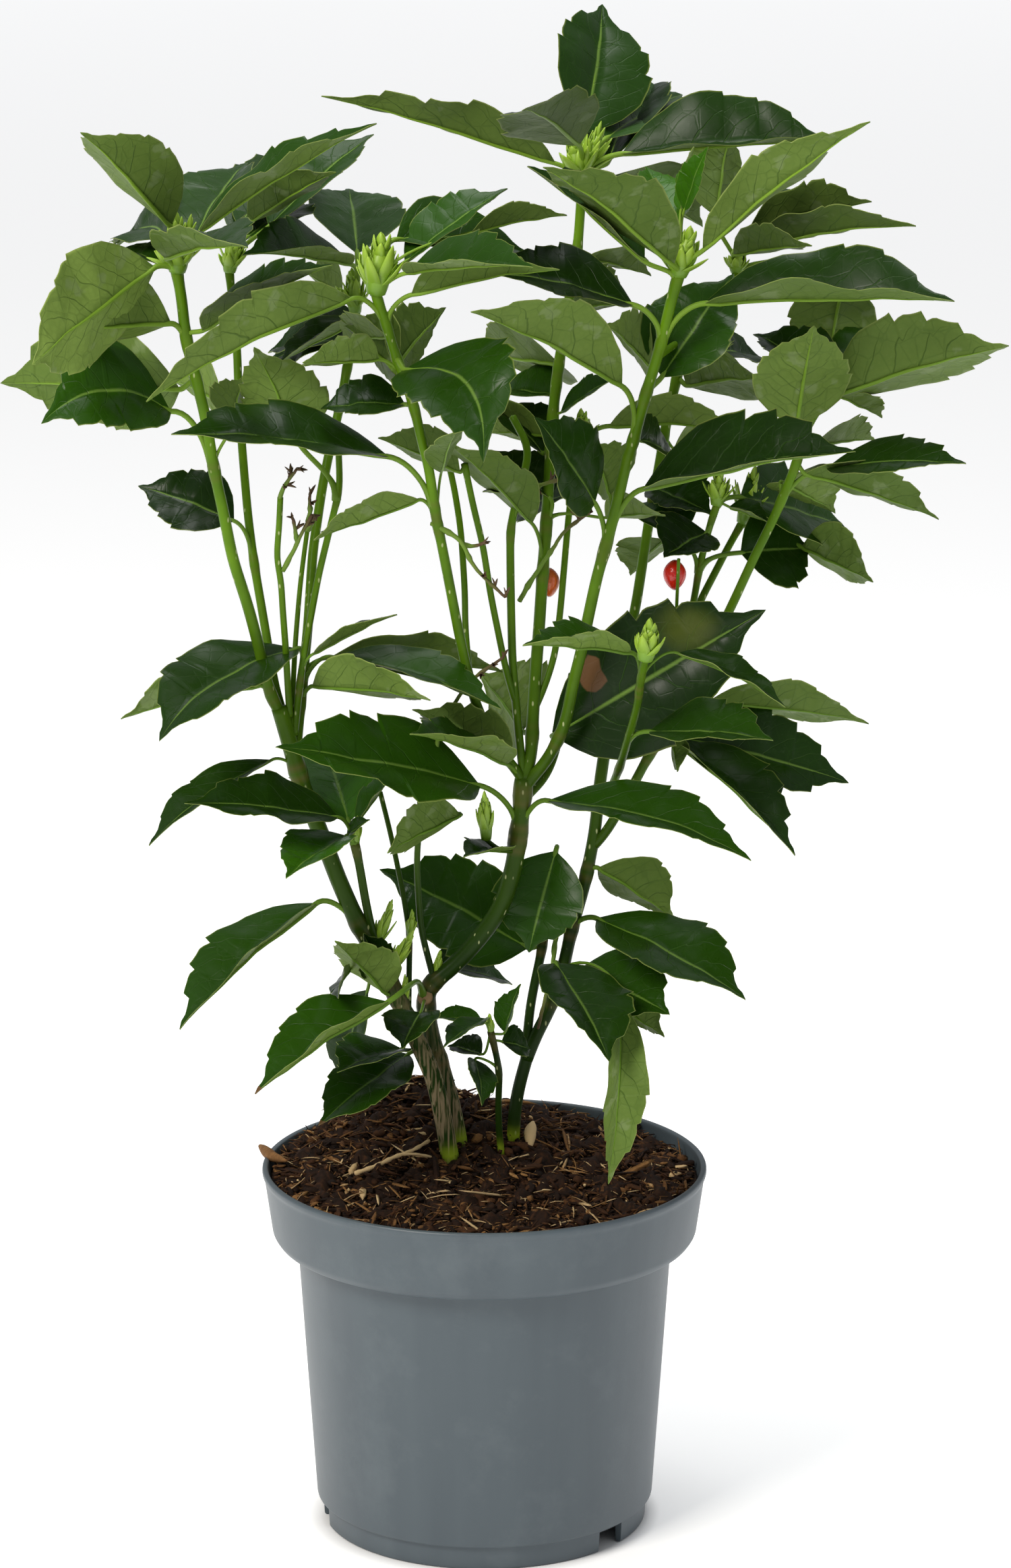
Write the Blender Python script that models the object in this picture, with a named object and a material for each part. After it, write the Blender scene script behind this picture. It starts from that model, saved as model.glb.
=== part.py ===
"""Potted aucuba: a plastic nursery pot, its soil, four leafy plants and two ripe berries.

Lengths are in millimetres and are turned to metres when a mesh is made. The pot stands at the
origin with +Z up, and the side that faces the viewer looks along -Y.
"""

import math
from dataclasses import dataclass

import bmesh
import bpy
import numpy as np
from mathutils import Vector

# Driving dimensions of the pot and the soil
RIM_RADIUS = 95.0
POT_HEIGHT = 157.6
BAND_BOTTOM = 128.8
BAND_FOOT_RADIUS = 90.6
WALL_TOP_RADIUS = 80.0
WALL_FOOT_RADIUS = 72.3
FOOT_RADIUS = 69.3
FOOT_HEIGHT = 10.2
WALL = 2.0
HUB_RADIUS = 12.0
NOTCH_AZIMUTHS = (50.8, 165.0, -80.0)
NOTCH_WIDTH = 15.0
NOTCH_HEIGHT = 9.0
DRAIN_COUNT = 6
DRAIN_RADIUS = 4.0
DRAIN_CIRCLE = 46.0
POT_SIDES = 32

FIT_GAP = 0.45
SOIL_LEVEL = 151.0
SOIL_SIDES = 20
SOIL_RINGS = 5
STEM_DEPTH_IN_SOIL = 26.0
# Each mound of soil: centre x, centre y, height, spread
MOUNDS = ((-18.0, 30.0, 20.0, 38.0), (-32.0, 60.0, 11.0, 15.0))

# Where the plant was seen from: a sight line through a photo pixel, cut at a chosen depth y,
# places each stem, blade base and leaf tip
PHOTO_CENTRE = (750.0, 1163.0)
FOCAL_PIXELS = 9103.0
EYE = np.array([9.0, -2500.0, 963.3])
LOOK_DOWN = 0.25
FORWARD = np.array([0.0, math.cos(LOOK_DOWN), -math.sin(LOOK_DOWN)])
UPWARD = np.array([0.0, math.sin(LOOK_DOWN), math.cos(LOOK_DOWN)])
SIDEWAYS = np.array([1.0, 0.0, 0.0])
# The photo doesn't show depth: the depths in the tables are first guesses, opened out by this
DEPTH_SPREAD = 1.35

BLADE_THICKNESS = 0.8
PETIOLE_HALF_WIDTH = 1.1
PETIOLE_HALF_DEPTH = 0.95
ROOT_SHARE = 0.22
SMALL_LEAF = 80.0
SMALL_STATIONS = (0.0, 0.26, 0.61, 0.64, 1.0)
LARGE_STATIONS = (0.0, 0.22, 0.55, 0.57, 0.75, 0.77, 1.0)
STEM_STEP = 42.0
TWIG_SIDES = 4
TWIG_DIAMETER = 3.5
STEM_SIDES = 5
TRUNK_DIAMETER = 5.9
TRUNK_SIDES = 7


@dataclass
class Stem:
    """A stem: foot and top diameters, foot and top depths, and its route in photo pixels."""

    plant: str
    grows_on: str
    foot: float
    top: float
    depth: float
    top_depth: float
    route: list


@dataclass
class Leaf:
    """A leaf: photo pixels of its node, blade base and tip, and how the blade is turned.

    out is how far the tip lies behind its node, wide the full width, turn the angle of the upper
    face from the viewer, fold the angle by which each half rises from the midrib.
    """

    name: str
    stem: str
    at: tuple
    base: tuple
    tip: tuple
    out: float
    wide: float
    turn: float
    fold: float = 22.0
    arch: float = 0.02
    sweep: float = 0.0
    teeth: int = 3
    lean: float = 0.16
    push: float = 0.0


STEMS = {
    "left_trunk": Stem("left", "", 8.6, 8.0, -8, -15, [
        (668, 1718), (658, 1660), (645, 1600), (622, 1550), (590, 1480), (560, 1420), (532, 1372),
        (515, 1335), (500, 1300), (486, 1262), (466, 1212), (446, 1160), (433, 1112), (415, 1050)]),
    "L1": Stem("left", "left_trunk", 5.4, 5.0, -15, -38, [
        (418, 1062), (400, 1030), (384, 959), (368, 899), (345, 829), (330, 752), (317, 695),
        (305, 618), (288, 552), (275, 500), (270, 445), (262, 400)]),
    "L2": Stem("left", "left_trunk", 4.2, 3.8, -13, 28, [
        (424, 1072), (408, 1020), (398, 959), (389, 906), (377, 836), (368, 766), (360, 674),
        (354, 590), (352, 520), (343, 430), (340, 400)]),
    "L3": Stem("left", "left_trunk", 3.2, 2.8, -12, -26, [
        (430, 1062), (426, 1000), (424, 962), (419, 899), (417, 853), (409, 832), (414, 787), (416, 738)]),
    "L4": Stem("left", "left_trunk", 2.6, 2.2, -10, 4, [
        (432, 1075), (438, 955), (445, 871), (451, 822), (456, 787)]),
    "L5": Stem("left", "left_trunk", 3.4, 3.0, -8, -14, [
        (437, 1090), (445, 1010), (453, 959), (473, 851), (492, 774), (499, 742), (505, 736), (502, 659)]),
    "L6": Stem("left", "left_trunk", 4.8, 4.2, -10, 46, [
        (440, 1110), (450, 1000), (457, 930), (464, 819), (478, 723), (491, 659), (505, 600), (520, 520),
        (528, 460)]),
    "L7": Stem("left", "left_trunk", 4.0, 4.0, -4, -16, [
        (590, 1476), (552, 1384), (541, 1330), (532, 1275), (526, 1250)]),
    "L8": Stem("left", "left_trunk", 2.8, 2.4, -6, 6, [
        (606, 1500), (608, 1387), (599, 1330), (586, 1266), (577, 1226), (564, 1175)]),
    "mid_trunk": Stem("middle", "", 8.6, 8.2, 3, 2, [
        (684, 1718), (675, 1660), (660, 1600), (641, 1545), (632, 1499), (630, 1470), (640, 1455),
        (659, 1445), (672, 1434), (698, 1407), (730, 1368), (749, 1334), (764, 1280), (768, 1245),
        (774, 1201), (777, 1155)]),
    "S0": Stem("middle", "mid_trunk", 3.2, 2.8, 2, -6, [
        (645, 1458), (624, 1378), (620, 1314), (618, 1280), (621, 1233), (631, 1188), (640, 1156)]),
    "S1": Stem("middle", "mid_trunk", 4.8, 4.4, 0, -42, [
        (776, 1158), (770, 1146), (739, 1112), (723, 1083), (704, 1041), (698, 1009), (691, 987),
        (679, 930), (665, 857), (655, 806), (647, 768), (636, 691), (623, 644), (617, 612), (600, 560),
        (588, 532), (574, 483), (560, 445), (556, 430)]),
    "S1a": Stem("middle", "S1", 3.0, 3.0, -8, 12, [
        (698, 1015), (690, 930), (690, 880), (684, 787), (674, 723), (665, 685)]),
    "S2": Stem("middle", "mid_trunk", 4.0, 3.6, 4, 10, [
        (777, 1158), (768, 1073), (760, 978), (758, 891), (757, 819), (757, 781), (767, 739), (779, 698),
        (787, 666), (760, 618)]),
    "S2b": Stem("middle", "S2", 3.2, 3.0, 2, -8, [
        (764, 1040), (752, 1000), (744, 962), (728, 883), (716, 806), (703, 755), (689, 688)]),
    "S3": Stem("middle", "mid_trunk", 6.0, 4.4, 6, 34, [
        (778, 1158), (789, 1120), (790, 1073), (795, 994), (800, 930), (805, 850), (810, 787), (815, 700),
        (821, 605), (829, 541), (845, 440), (856, 380), (860, 330), (864, 262)]),
    "S4": Stem("middle", "mid_trunk", 5.6, 5.0, -3, -22, [
        (775, 1175), (785, 1156), (806, 1137), (828, 1099), (840, 1070), (851, 1009), (860, 978),
        (873, 914), (887, 850), (899, 810), (918, 737), (928, 689), (940, 654), (953, 603), (972, 539),
        (982, 507), (991, 466), (1000, 430), (1008, 405)]),
    "S4b": Stem("middle", "S4", 3.4, 3.6, -18, 26, [
        (975, 530), (1010, 505), (1050, 470), (1080, 430), (1095, 402)]),
    "S5": Stem("middle", "S3", 3.2, 3.0, 6, 26, [
        (790, 1060), (808, 1020), (824, 970), (832, 900), (843, 771), (852, 700), (860, 652)]),
    "S6": Stem("middle", "mid_trunk", 3.8, 3.2, 2, 34, [
        (774, 1190), (795, 1170), (811, 1153), (824, 1120), (838, 1060), (848, 1000)]),
    "S7": Stem("middle", "mid_trunk", 2.4, 2.2, 2, -10, [(768, 1262), (742, 1264), (720, 1244)]),
    "R0": Stem("right", "", 6.4, 6.0, 12, 12, [(761, 1706), (763, 1649), (770, 1610), (783, 1565)]),
    "Ra": Stem("right", "R0", 4.6, 4.2, 12, 26, [
        (778, 1580), (787, 1489), (797, 1441), (806, 1400), (812, 1340), (822, 1280)]),
    "Rb0": Stem("right", "R0", 6.2, 5.8, 12, 22, [
        (781, 1572), (797, 1531), (815, 1500), (835, 1441), (848, 1378), (867, 1314), (883, 1233),
        (889, 1169), (897, 1115)]),
    "Rc0": Stem("right", "Rb0", 4.8, 4.4, 18, 14, [
        (881, 1255), (896, 1240), (920, 1200), (946, 1153), (962, 1121), (990, 1085)]),
    "Rb": Stem("right", "Rc0", 3.4, 3.2, 16, 20, [
        (970, 1112), (1000, 1020), (1030, 890), (1036, 849), (1052, 782), (1065, 745)]),
    "Rc": Stem("right", "Rc0", 4.4, 4.2, 14, 8, [
        (985, 1090), (1040, 990), (1087, 896), (1119, 826), (1151, 763), (1160, 740), (1183, 686),
        (1192, 652)]),
    "Rd": Stem("right", "Rb0", 5.0, 4.6, 22, 50, [
        (895, 1130), (915, 1040), (930, 960), (944, 896), (956, 817), (966, 753), (979, 686), (988, 629),
        (1004, 562), (1012, 520)]),
    "Re": Stem("right", "Rc0", 3.8, 3.4, 16, 32, [
        (980, 1096), (1010, 980), (1036, 896), (1055, 861), (1081, 810), (1103, 772)]),
    "Rg": Stem("right", "Rb0", 4.0, 3.6, 6, -46, [
        (888, 1205), (907, 1169), (920, 1137), (933, 1092), (946, 1048), (950, 1009), (958, 975)]),
    "Rh": Stem("right", "Rb", 1.7, 1.6, 16, 8, [(1000, 1020), (1002, 950), (1004, 896), (1007, 829)]),
    "shoot": Stem("shoot", "", 3.4, 3.0, 0, -8, [
        (746, 1722), (741, 1693), (739, 1633), (742, 1591), (736, 1563), (728, 1530)]),
}


LEAVES = [
    Leaf("A1", "L1", at=(264, 400), base=(252, 335), tip=(120, 192), out=-45, wide=40, turn=140, fold=36),
    Leaf("A2", "L1", at=(264, 402), base=(290, 350), tip=(365, 236), out=50, wide=36, turn=50),
    Leaf("A3", "L1", at=(266, 398), base=(296, 345), tip=(556, 179), out=-10, wide=27, turn=83, fold=35),
    Leaf("A4", "L2", at=(342, 402), base=(400, 335), tip=(554, 198), out=36, wide=34, turn=55),
    Leaf("A5", "L2", at=(342, 400), base=(370, 330), tip=(498, 251), out=-25, wide=27, turn=125),
    Leaf("A6", "L2", at=(340, 400), base=(345, 345), tip=(475, 211), out=60, wide=36, turn=50),
    Leaf("A7", "L1", at=(262, 402), base=(247, 383), tip=(367, 361), out=-70, wide=36, turn=95, fold=30),
    Leaf("A8", "L6", at=(528, 460), base=(520, 392), tip=(363, 371), out=-45, wide=34, turn=72, fold=33),
    Leaf("A9", "L6", at=(528, 462), base=(530, 375), tip=(518, 276), out=55, wide=42, turn=12),
    Leaf("A10", "S1", at=(556, 432), base=(602, 388), tip=(752, 278), out=15, wide=28, turn=60),
    Leaf("A11", "S1", at=(556, 432), base=(590, 355), tip=(790, 378), out=35, wide=38, turn=55, sweep=0.05),
    Leaf("A12", "S1", at=(560, 445), base=(605, 405), tip=(789, 392), out=-30, wide=32, turn=66, fold=34),
    Leaf("A13", "S1", at=(574, 483), base=(612, 437), tip=(830, 395), out=-15, wide=34, turn=112, fold=20),
    Leaf("A13b", "S1", at=(558, 432), base=(700, 345), tip=(840, 316), out=20, wide=22, turn=110),
    Leaf("A14", "S1", at=(574, 483), base=(520, 444), tip=(210, 587), out=-45, wide=37, turn=121, fold=31),
    Leaf("A15", "L1", at=(264, 405), base=(228, 398), tip=(45, 540), out=-35, wide=50, turn=142, fold=15),
    Leaf("A16", "L1", at=(277, 510), base=(252, 480), tip=(83, 490), out=-30, wide=44, turn=140, fold=32),
    Leaf("A17", "L1", at=(292, 565), base=(265, 578), tip=(2, 567), out=25, wide=50, turn=150, fold=14),
    Leaf("A18", "L1", at=(316, 700), base=(252, 610), tip=(63, 625),
         out=-35, wide=48, turn=35, fold=15, arch=0.1, sweep=0.16),
    Leaf("A20", "L2", at=(354, 600), base=(330, 598), tip=(255, 562), out=30, wide=28, turn=130),
    Leaf("A21", "L1", at=(262, 402), base=(245, 352), tip=(165, 362), out=45, wide=30, turn=55, sweep=0.1),
    Leaf("A22", "L1", at=(262, 405), base=(240, 392), tip=(172, 368), out=40, wide=20, turn=62),
    Leaf("A23", "L1", at=(275, 500), base=(302, 490), tip=(490, 388), out=-22, wide=36, turn=85, fold=28),
    Leaf("A24", "L6", at=(524, 475), base=(508, 440), tip=(452, 402), out=20, wide=22, turn=130),
    Leaf("A25", "S1", at=(600, 560), base=(585, 545), tip=(660, 456), out=30, wide=34, turn=135),
    Leaf("A26", "S1", at=(600, 560), base=(575, 500), tip=(508, 507), out=25, wide=26, turn=125),
    Leaf("A27", "S1", at=(600, 560), base=(560, 533), tip=(448, 536),
         out=-30, wide=28, turn=118, sweep=0.05),
    Leaf("A28", "L5", at=(499, 742), base=(441, 653), tip=(378, 512), out=-8, wide=38, turn=152, fold=12),
    Leaf("A29", "L2", at=(377, 836), base=(346, 772), tip=(205, 718), out=10, wide=31, turn=32, fold=15),
    Leaf("A30", "L6", at=(522, 515), base=(500, 505), tip=(396, 520), out=20, wide=30, turn=62),
    Leaf("A31", "L6", at=(515, 545), base=(545, 470), tip=(410, 540), out=-14, wide=26, turn=75, fold=26),
    Leaf("A32", "L1", at=(317, 695), base=(345, 632), tip=(360, 560), out=20, wide=24, turn=130),
    Leaf("T1", "S3", at=(864, 262), base=(868, 195), tip=(897, 3), out=45, wide=45, turn=-25, fold=15),
    Leaf("T2", "S3", at=(864, 262), base=(858, 215), tip=(772, 150), out=-85, wide=38, turn=150, fold=15),
    Leaf("T3", "S3", at=(862, 275), base=(822, 242), tip=(478, 137),
         out=-20, wide=35, turn=113, fold=23, arch=0.01),
    Leaf("T4", "S3", at=(864, 268), base=(925, 228), tip=(1235, 200),
         out=-12, wide=46, turn=55, fold=37, arch=0),
    Leaf("T5", "S3", at=(864, 264), base=(900, 205), tip=(1012, 138), out=55, wide=42, turn=40),
    Leaf("T6", "S4b", at=(1095, 404), base=(1062, 320), tip=(1085, 180), out=25, wide=32, turn=150),
    Leaf("T7", "S4", at=(1006, 410), base=(997, 392), tip=(807, 241), out=-42, wide=42, turn=126, fold=24),
    Leaf("T8", "S4", at=(1004, 418), base=(955, 387), tip=(785, 244), out=-18, wide=36, turn=62, fold=30),
    Leaf("Y1", "S4", at=(1008, 406), base=(1015, 312), tip=(1048, 218),
         out=8, wide=14, turn=45),
    Leaf("Y2", "S4", at=(1008, 406), base=(1010, 312), tip=(1027, 217),
         out=14, wide=12, turn=78),
    Leaf("Y3", "S4", at=(1008, 406), base=(1000, 330), tip=(958, 246),
         out=20, wide=24, turn=40),
    Leaf("B1", "S4", at=(974, 507), base=(938, 452), tip=(720, 405),
         out=-30, wide=42, turn=60, fold=20, sweep=0.04),
    Leaf("R1a", "S4", at=(1010, 404), base=(1045, 370), tip=(1288, 174), out=-30, wide=35, turn=120),
    Leaf("R1b", "S4b", at=(1095, 402), base=(1110, 345), tip=(1293, 298),
         out=10, wide=36, turn=105, fold=30),
    Leaf("R1c", "S4b", at=(1094, 405), base=(1090, 378), tip=(1205, 363), out=-25, wide=26, turn=118),
    Leaf("R1d", "S4b", at=(1095, 402), base=(1120, 352), tip=(1285, 318), out=30, wide=34, turn=50),
    Leaf("R1e", "S4b", at=(1095, 402), base=(1110, 368), tip=(1358, 326),
         out=-2, wide=34, turn=108, fold=18),
    Leaf("R2", "S4", at=(985, 510), base=(1048, 450), tip=(1415, 439),
         out=-28, wide=49, turn=66, fold=39, arch=0.01),
    Leaf("R3", "Rc", at=(1190, 655), base=(1239, 586), tip=(1497, 508),
         out=-16, wide=44, turn=137, fold=28),
    Leaf("R4", "Rc", at=(1192, 654), base=(1182, 632), tip=(1207, 479),
         out=-30, wide=40, turn=166, fold=10),
    Leaf("R5", "S4", at=(899, 810), base=(956, 725), tip=(1265, 662),
         out=-48, wide=46, turn=60, fold=32, arch=0.01),
    Leaf("R6", "S4b", at=(1094, 404), base=(1250, 420), tip=(1225, 560),
         out=10, wide=36, turn=165, fold=10),
    Leaf("R7a", "Rc", at=(1192, 652), base=(1230, 560), tip=(1118, 492), out=30, wide=32, turn=50),
    Leaf("R7b", "Rc", at=(1192, 652), base=(1240, 560), tip=(1335, 487), out=34, wide=32, turn=50),
    Leaf("R9", "Rc", at=(1192, 656), base=(1242, 586), tip=(1309, 619), out=12, wide=20, turn=105),
    Leaf("R10", "Rd", at=(1004, 562), base=(1020, 572), tip=(1131, 558),
         out=-26, wide=38, turn=130, fold=12),
    Leaf("R10b", "Rd", at=(1012, 522), base=(1020, 545), tip=(1070, 503), out=-18, wide=30, turn=130),
    Leaf("R10c", "Rd", at=(1012, 522), base=(1035, 520), tip=(1132, 530), out=20, wide=30, turn=60),
    Leaf("R11", "S5", at=(868, 668), base=(905, 632), tip=(1097, 630), out=-6, wide=36, turn=109, fold=19),
    Leaf("R12", "Rc", at=(1164, 742), base=(1228, 694), tip=(1432, 683),
         out=-14, wide=34, turn=65, fold=13),
    Leaf("R13", "Rc", at=(1183, 690), base=(1195, 703), tip=(1394, 765),
         out=-4, wide=33, turn=115, fold=17),
    Leaf("R14", "Rc", at=(1162, 742), base=(1160, 715), tip=(1239, 758), out=22, wide=34, turn=130),
    Leaf("R14a", "Rc", at=(1188, 670), base=(1205, 662), tip=(1297, 650), out=26, wide=28, turn=108),
    Leaf("R15", "Rb", at=(1065, 750), base=(1100, 738), tip=(1258, 781), out=22, wide=38, turn=48, fold=12),
    Leaf("R16", "Re", at=(1100, 780), base=(1190, 812), tip=(1296, 863), out=-4, wide=34, turn=128),
    Leaf("R17", "Rb", at=(1038, 845), base=(1100, 820), tip=(1206, 812),
         out=14, wide=36, turn=25, fold=10, teeth=2),
    Leaf("M1", "S1", at=(589, 535), base=(600, 549), tip=(716, 683),
         out=-48, wide=43, turn=12, fold=14, arch=0.1, sweep=0.2, teeth=4),
    Leaf("M2", "S1", at=(643, 755), base=(574, 677), tip=(256, 638), out=-34, wide=46, turn=66, fold=18),
    Leaf("M3", "S1", at=(614, 605), base=(600, 600), tip=(476, 602), out=2, wide=36, turn=64, fold=12),
    Leaf("M4", "S1", at=(650, 780), base=(620, 742), tip=(464, 798),
         out=-22, wide=28, turn=100, sweep=0.12),
    Leaf("M5", "S3", at=(795, 850), base=(788, 775), tip=(668, 656), out=-38, wide=28, turn=128),
    Leaf("M6", "S4", at=(896, 818), base=(882, 746), tip=(797, 619), out=-30, wide=38, turn=45, fold=12),
    Leaf("M6b", "S4", at=(900, 808), base=(905, 735), tip=(880, 655), out=25, wide=30, turn=130),
    Leaf("M7", "S2b", at=(690, 692), base=(682, 700), tip=(562, 648), out=-12, wide=30, turn=122),
    Leaf("M8", "S1", at=(650, 782), base=(655, 700), tip=(677, 637), out=-14, wide=16, turn=135, teeth=1),
    Leaf("M9", "S4", at=(940, 654), base=(920, 571), tip=(699, 456), out=-52, wide=44, turn=123, fold=33),
    Leaf("M11", "S4", at=(960, 590), base=(983, 558), tip=(1088, 405), out=30, wide=40, turn=25, fold=12),
    Leaf("M12", "Rd", at=(966, 760), base=(985, 800), tip=(935, 852), out=20, wide=26, turn=130),
    Leaf("M13", "Rb", at=(1037, 850), base=(1008, 795), tip=(940, 745), out=18, wide=32, turn=50),
    Leaf("M14", "Rb", at=(1060, 765), base=(1048, 790), tip=(985, 825), out=-12, wide=34, turn=40),
    Leaf("M15", "Rb", at=(1065, 748), base=(1082, 752), tip=(1143, 775), out=-12, wide=20, turn=72),
    Leaf("M16", "S3", at=(812, 775), base=(900, 768), tip=(982, 761), out=-12, wide=24, turn=120),
    Leaf("M17", "S3", at=(822, 618), base=(832, 612), tip=(908, 562), out=-12, wide=17, turn=62),
    Leaf("M18", "S4", at=(935, 680), base=(948, 652), tip=(1003, 677), out=30, wide=26, turn=60),
    Leaf("M19", "Rd", at=(985, 650), base=(1000, 665), tip=(1060, 648), out=22, wide=24, turn=125),
    Leaf("M20", "Rd", at=(970, 735), base=(965, 722), tip=(1057, 762), out=-14, wide=32, turn=48),
    Leaf("M22", "S3", at=(828, 545), base=(830, 540), tip=(722, 530), out=22, wide=42, turn=122, fold=10),
    Leaf("M23", "S3", at=(826, 570), base=(820, 585), tip=(735, 580), out=30, wide=30, turn=60),
    Leaf("M24", "S3", at=(818, 640), base=(810, 645), tip=(722, 640), out=26, wide=32, turn=125),
    Leaf("M25", "S3", at=(810, 790), base=(815, 738), tip=(722, 665), out=4, wide=30, turn=62),
    Leaf("M26", "S2", at=(757, 790), base=(762, 735), tip=(716, 728), out=-4, wide=20, turn=70, teeth=1),
    Leaf("M27", "S5", at=(848, 740), base=(838, 735), tip=(760, 760), out=24, wide=30, turn=50),
    Leaf("C1", "L6", at=(450, 1000), base=(440, 963), tip=(236, 1094),
         out=-40, wide=42, turn=50, fold=15, arch=0.04, sweep=0.07),
    Leaf("C2", "L1", at=(400, 1035), base=(385, 1017), tip=(179, 1060), out=-6, wide=36, turn=114),
    Leaf("C3", "L5", at=(444, 1018), base=(465, 970), tip=(588, 909), out=-6, wide=22, turn=92, fold=14),
    Leaf("C4", "L6", at=(450, 1000), base=(491, 976), tip=(745, 990), out=18, wide=29, turn=114),
    Leaf("C5", "L6", at=(448, 1020), base=(495, 975), tip=(744, 1051),
         out=-22, wide=31, turn=64, fold=25, sweep=0.04),
    Leaf("C6", "L6", at=(446, 1045), base=(465, 1018), tip=(640, 1036), out=-12, wide=32, turn=120),
    Leaf("C7", "mid_trunk", at=(769, 1235), base=(710, 1165), tip=(410, 1107),
         out=-52, wide=48, turn=50, fold=16),
    Leaf("C8", "mid_trunk", at=(776, 1170), base=(750, 1133), tip=(610, 1084),
         out=-45, wide=32, turn=88, fold=28),
    Leaf("C9", "mid_trunk", at=(775, 1180), base=(755, 1131), tip=(612, 1051), out=-12, wide=32, turn=125),
    Leaf("C10", "S3", at=(790, 1090), base=(775, 1085), tip=(715, 1000), out=36, wide=44, turn=145),
    Leaf("C11", "S4", at=(830, 1096), base=(822, 1090), tip=(1135, 905),
         out=-4, wide=54, turn=4, fold=5, arch=0.01, lean=-2.5),
    Leaf("C12", "Rg", at=(951, 1025), base=(935, 968), tip=(776, 954),
         out=-22, wide=34, turn=84, fold=28, lean=0.3),
    Leaf("C13", "Rg", at=(952, 1005), base=(1006, 969), tip=(1167, 1045),
         out=-14, wide=20, turn=68, sweep=0.05),
    Leaf("C14", "Rc", at=(1010, 1045), base=(1050, 1042), tip=(1288, 1067),
         out=12, wide=31, turn=120, fold=15),
    Leaf("C15", "Rg", at=(921, 1140), base=(965, 1085), tip=(1146, 1094),
         out=-40, wide=34, turn=58, lean=0.6),
    Leaf("C16", "Rc0", at=(975, 1105), base=(1010, 1094), tip=(1261, 1158),
         out=-4, wide=39, turn=32, fold=12),
    Leaf("C17", "Rc0", at=(962, 1121), base=(1010, 1105), tip=(1183, 1263),
         out=-20, wide=38, turn=60, fold=30),
    Leaf("C18", "Rc0", at=(980, 1098), base=(997, 1095), tip=(1006, 1145),
         out=-10, wide=14, turn=125, teeth=1),
    Leaf("C19", "mid_trunk", at=(770, 1240), base=(815, 1188), tip=(1114, 1268),
         out=-52, wide=38, turn=60, fold=18, sweep=0.05),
    Leaf("C20", "Rb0", at=(872, 1295), base=(888, 1288), tip=(1000, 1360), out=-8, wide=36, turn=132),
    Leaf("C21", "Rb0", at=(848, 1378), base=(887, 1363), tip=(1107, 1475),
         out=-30, wide=42, turn=52, fold=14),
    Leaf("C22", "Rb0", at=(835, 1445), base=(860, 1438), tip=(993, 1503),
         out=-32, wide=42, turn=35, fold=12, teeth=4),
    Leaf("C23", "Rb0", at=(822, 1480), base=(900, 1480), tip=(987, 1537), out=-12, wide=28, turn=125),
    Leaf("C24", "Rb0", at=(833, 1450), base=(825, 1430), tip=(905, 1568), out=-58, wide=38, turn=35),
    Leaf("C25", "Rb0", at=(835, 1445), base=(922, 1490), tip=(909, 1760),
         out=-75, wide=22, turn=140, lean=0.5),
    Leaf("C26", "left_trunk", at=(440, 1145), base=(402, 1128), tip=(220, 1252),
         out=-24, wide=23, turn=62, sweep=0.06),
    Leaf("C27", "L7", at=(528, 1260), base=(500, 1212), tip=(276, 1188), out=-34, wide=29, turn=50),
    Leaf("C28", "L7", at=(526, 1252), base=(517, 1218), tip=(480, 1100), out=30, wide=42, turn=10),
    Leaf("C29", "L7", at=(526, 1252), base=(529, 1221), tip=(590, 1141), out=10, wide=18, turn=70),
    Leaf("C30", "L7", at=(528, 1262), base=(514, 1240), tip=(424, 1301), out=-34, wide=32, turn=55),
    Leaf("C31", "L7", at=(526, 1252), base=(514, 1242), tip=(547, 1215), out=-8, wide=10, turn=60, teeth=1),
    Leaf("C33", "left_trunk", at=(532, 1372), base=(468, 1341), tip=(262, 1520),
         out=-34, wide=42, turn=65, fold=28),
    Leaf("C34", "mid_trunk", at=(630, 1490), base=(575, 1487), tip=(377, 1620),
         out=-58, wide=42, turn=68, fold=28, lean=0.8),
    Leaf("C35", "mid_trunk", at=(650, 1570), base=(605, 1564), tip=(473, 1668),
         out=-56, wide=30, turn=38, fold=14),
    Leaf("C35b", "left_trunk", at=(605, 1512), base=(596, 1556), tip=(500, 1590),
         out=-22, wide=30, turn=60),
    Leaf("C37", "left_trunk", at=(562, 1424), base=(545, 1470), tip=(500, 1604),
         out=24, wide=26, turn=40, lean=0.5),
    Leaf("C38", "left_trunk", at=(590, 1480), base=(572, 1473), tip=(497, 1395),
         out=-24, wide=32, turn=130),
    Leaf("C39", "L8", at=(604, 1400), base=(560, 1442), tip=(540, 1385),
         out=-12, wide=18, turn=20, teeth=2),
    Leaf("C40", "left_trunk", at=(575, 1450), base=(519, 1438), tip=(500, 1480),
         out=-28, wide=12, turn=80, teeth=1),
    Leaf("C41", "mid_trunk", at=(632, 1495), base=(624, 1502), tip=(597, 1552),
         out=-42, wide=24, turn=30, teeth=2, lean=0.5),
    Leaf("C42", "Ra", at=(806, 1405), base=(782, 1405), tip=(565, 1287),
         out=14, wide=48, turn=28, fold=14, lean=0.4),
    Leaf("C43", "Ra", at=(822, 1280), base=(824, 1264), tip=(784, 1413),
         out=-22, wide=38, turn=12, fold=12, lean=0.6),
    Leaf("C44", "mid_trunk", at=(640, 1455), base=(645, 1432), tip=(762, 1458), out=22, wide=25, turn=60),
    Leaf("C45", "S0", at=(623, 1225), base=(682, 1210), tip=(572, 1263), out=-22, wide=30, turn=126),
    Leaf("C46", "mid_trunk", at=(768, 1250), base=(752, 1262), tip=(688, 1268),
         out=-14, wide=20, turn=75, teeth=1),
    Leaf("s1", "shoot", at=(728, 1532), base=(722, 1511), tip=(658, 1551),
         out=-14, wide=16, turn=60, teeth=2),
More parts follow.
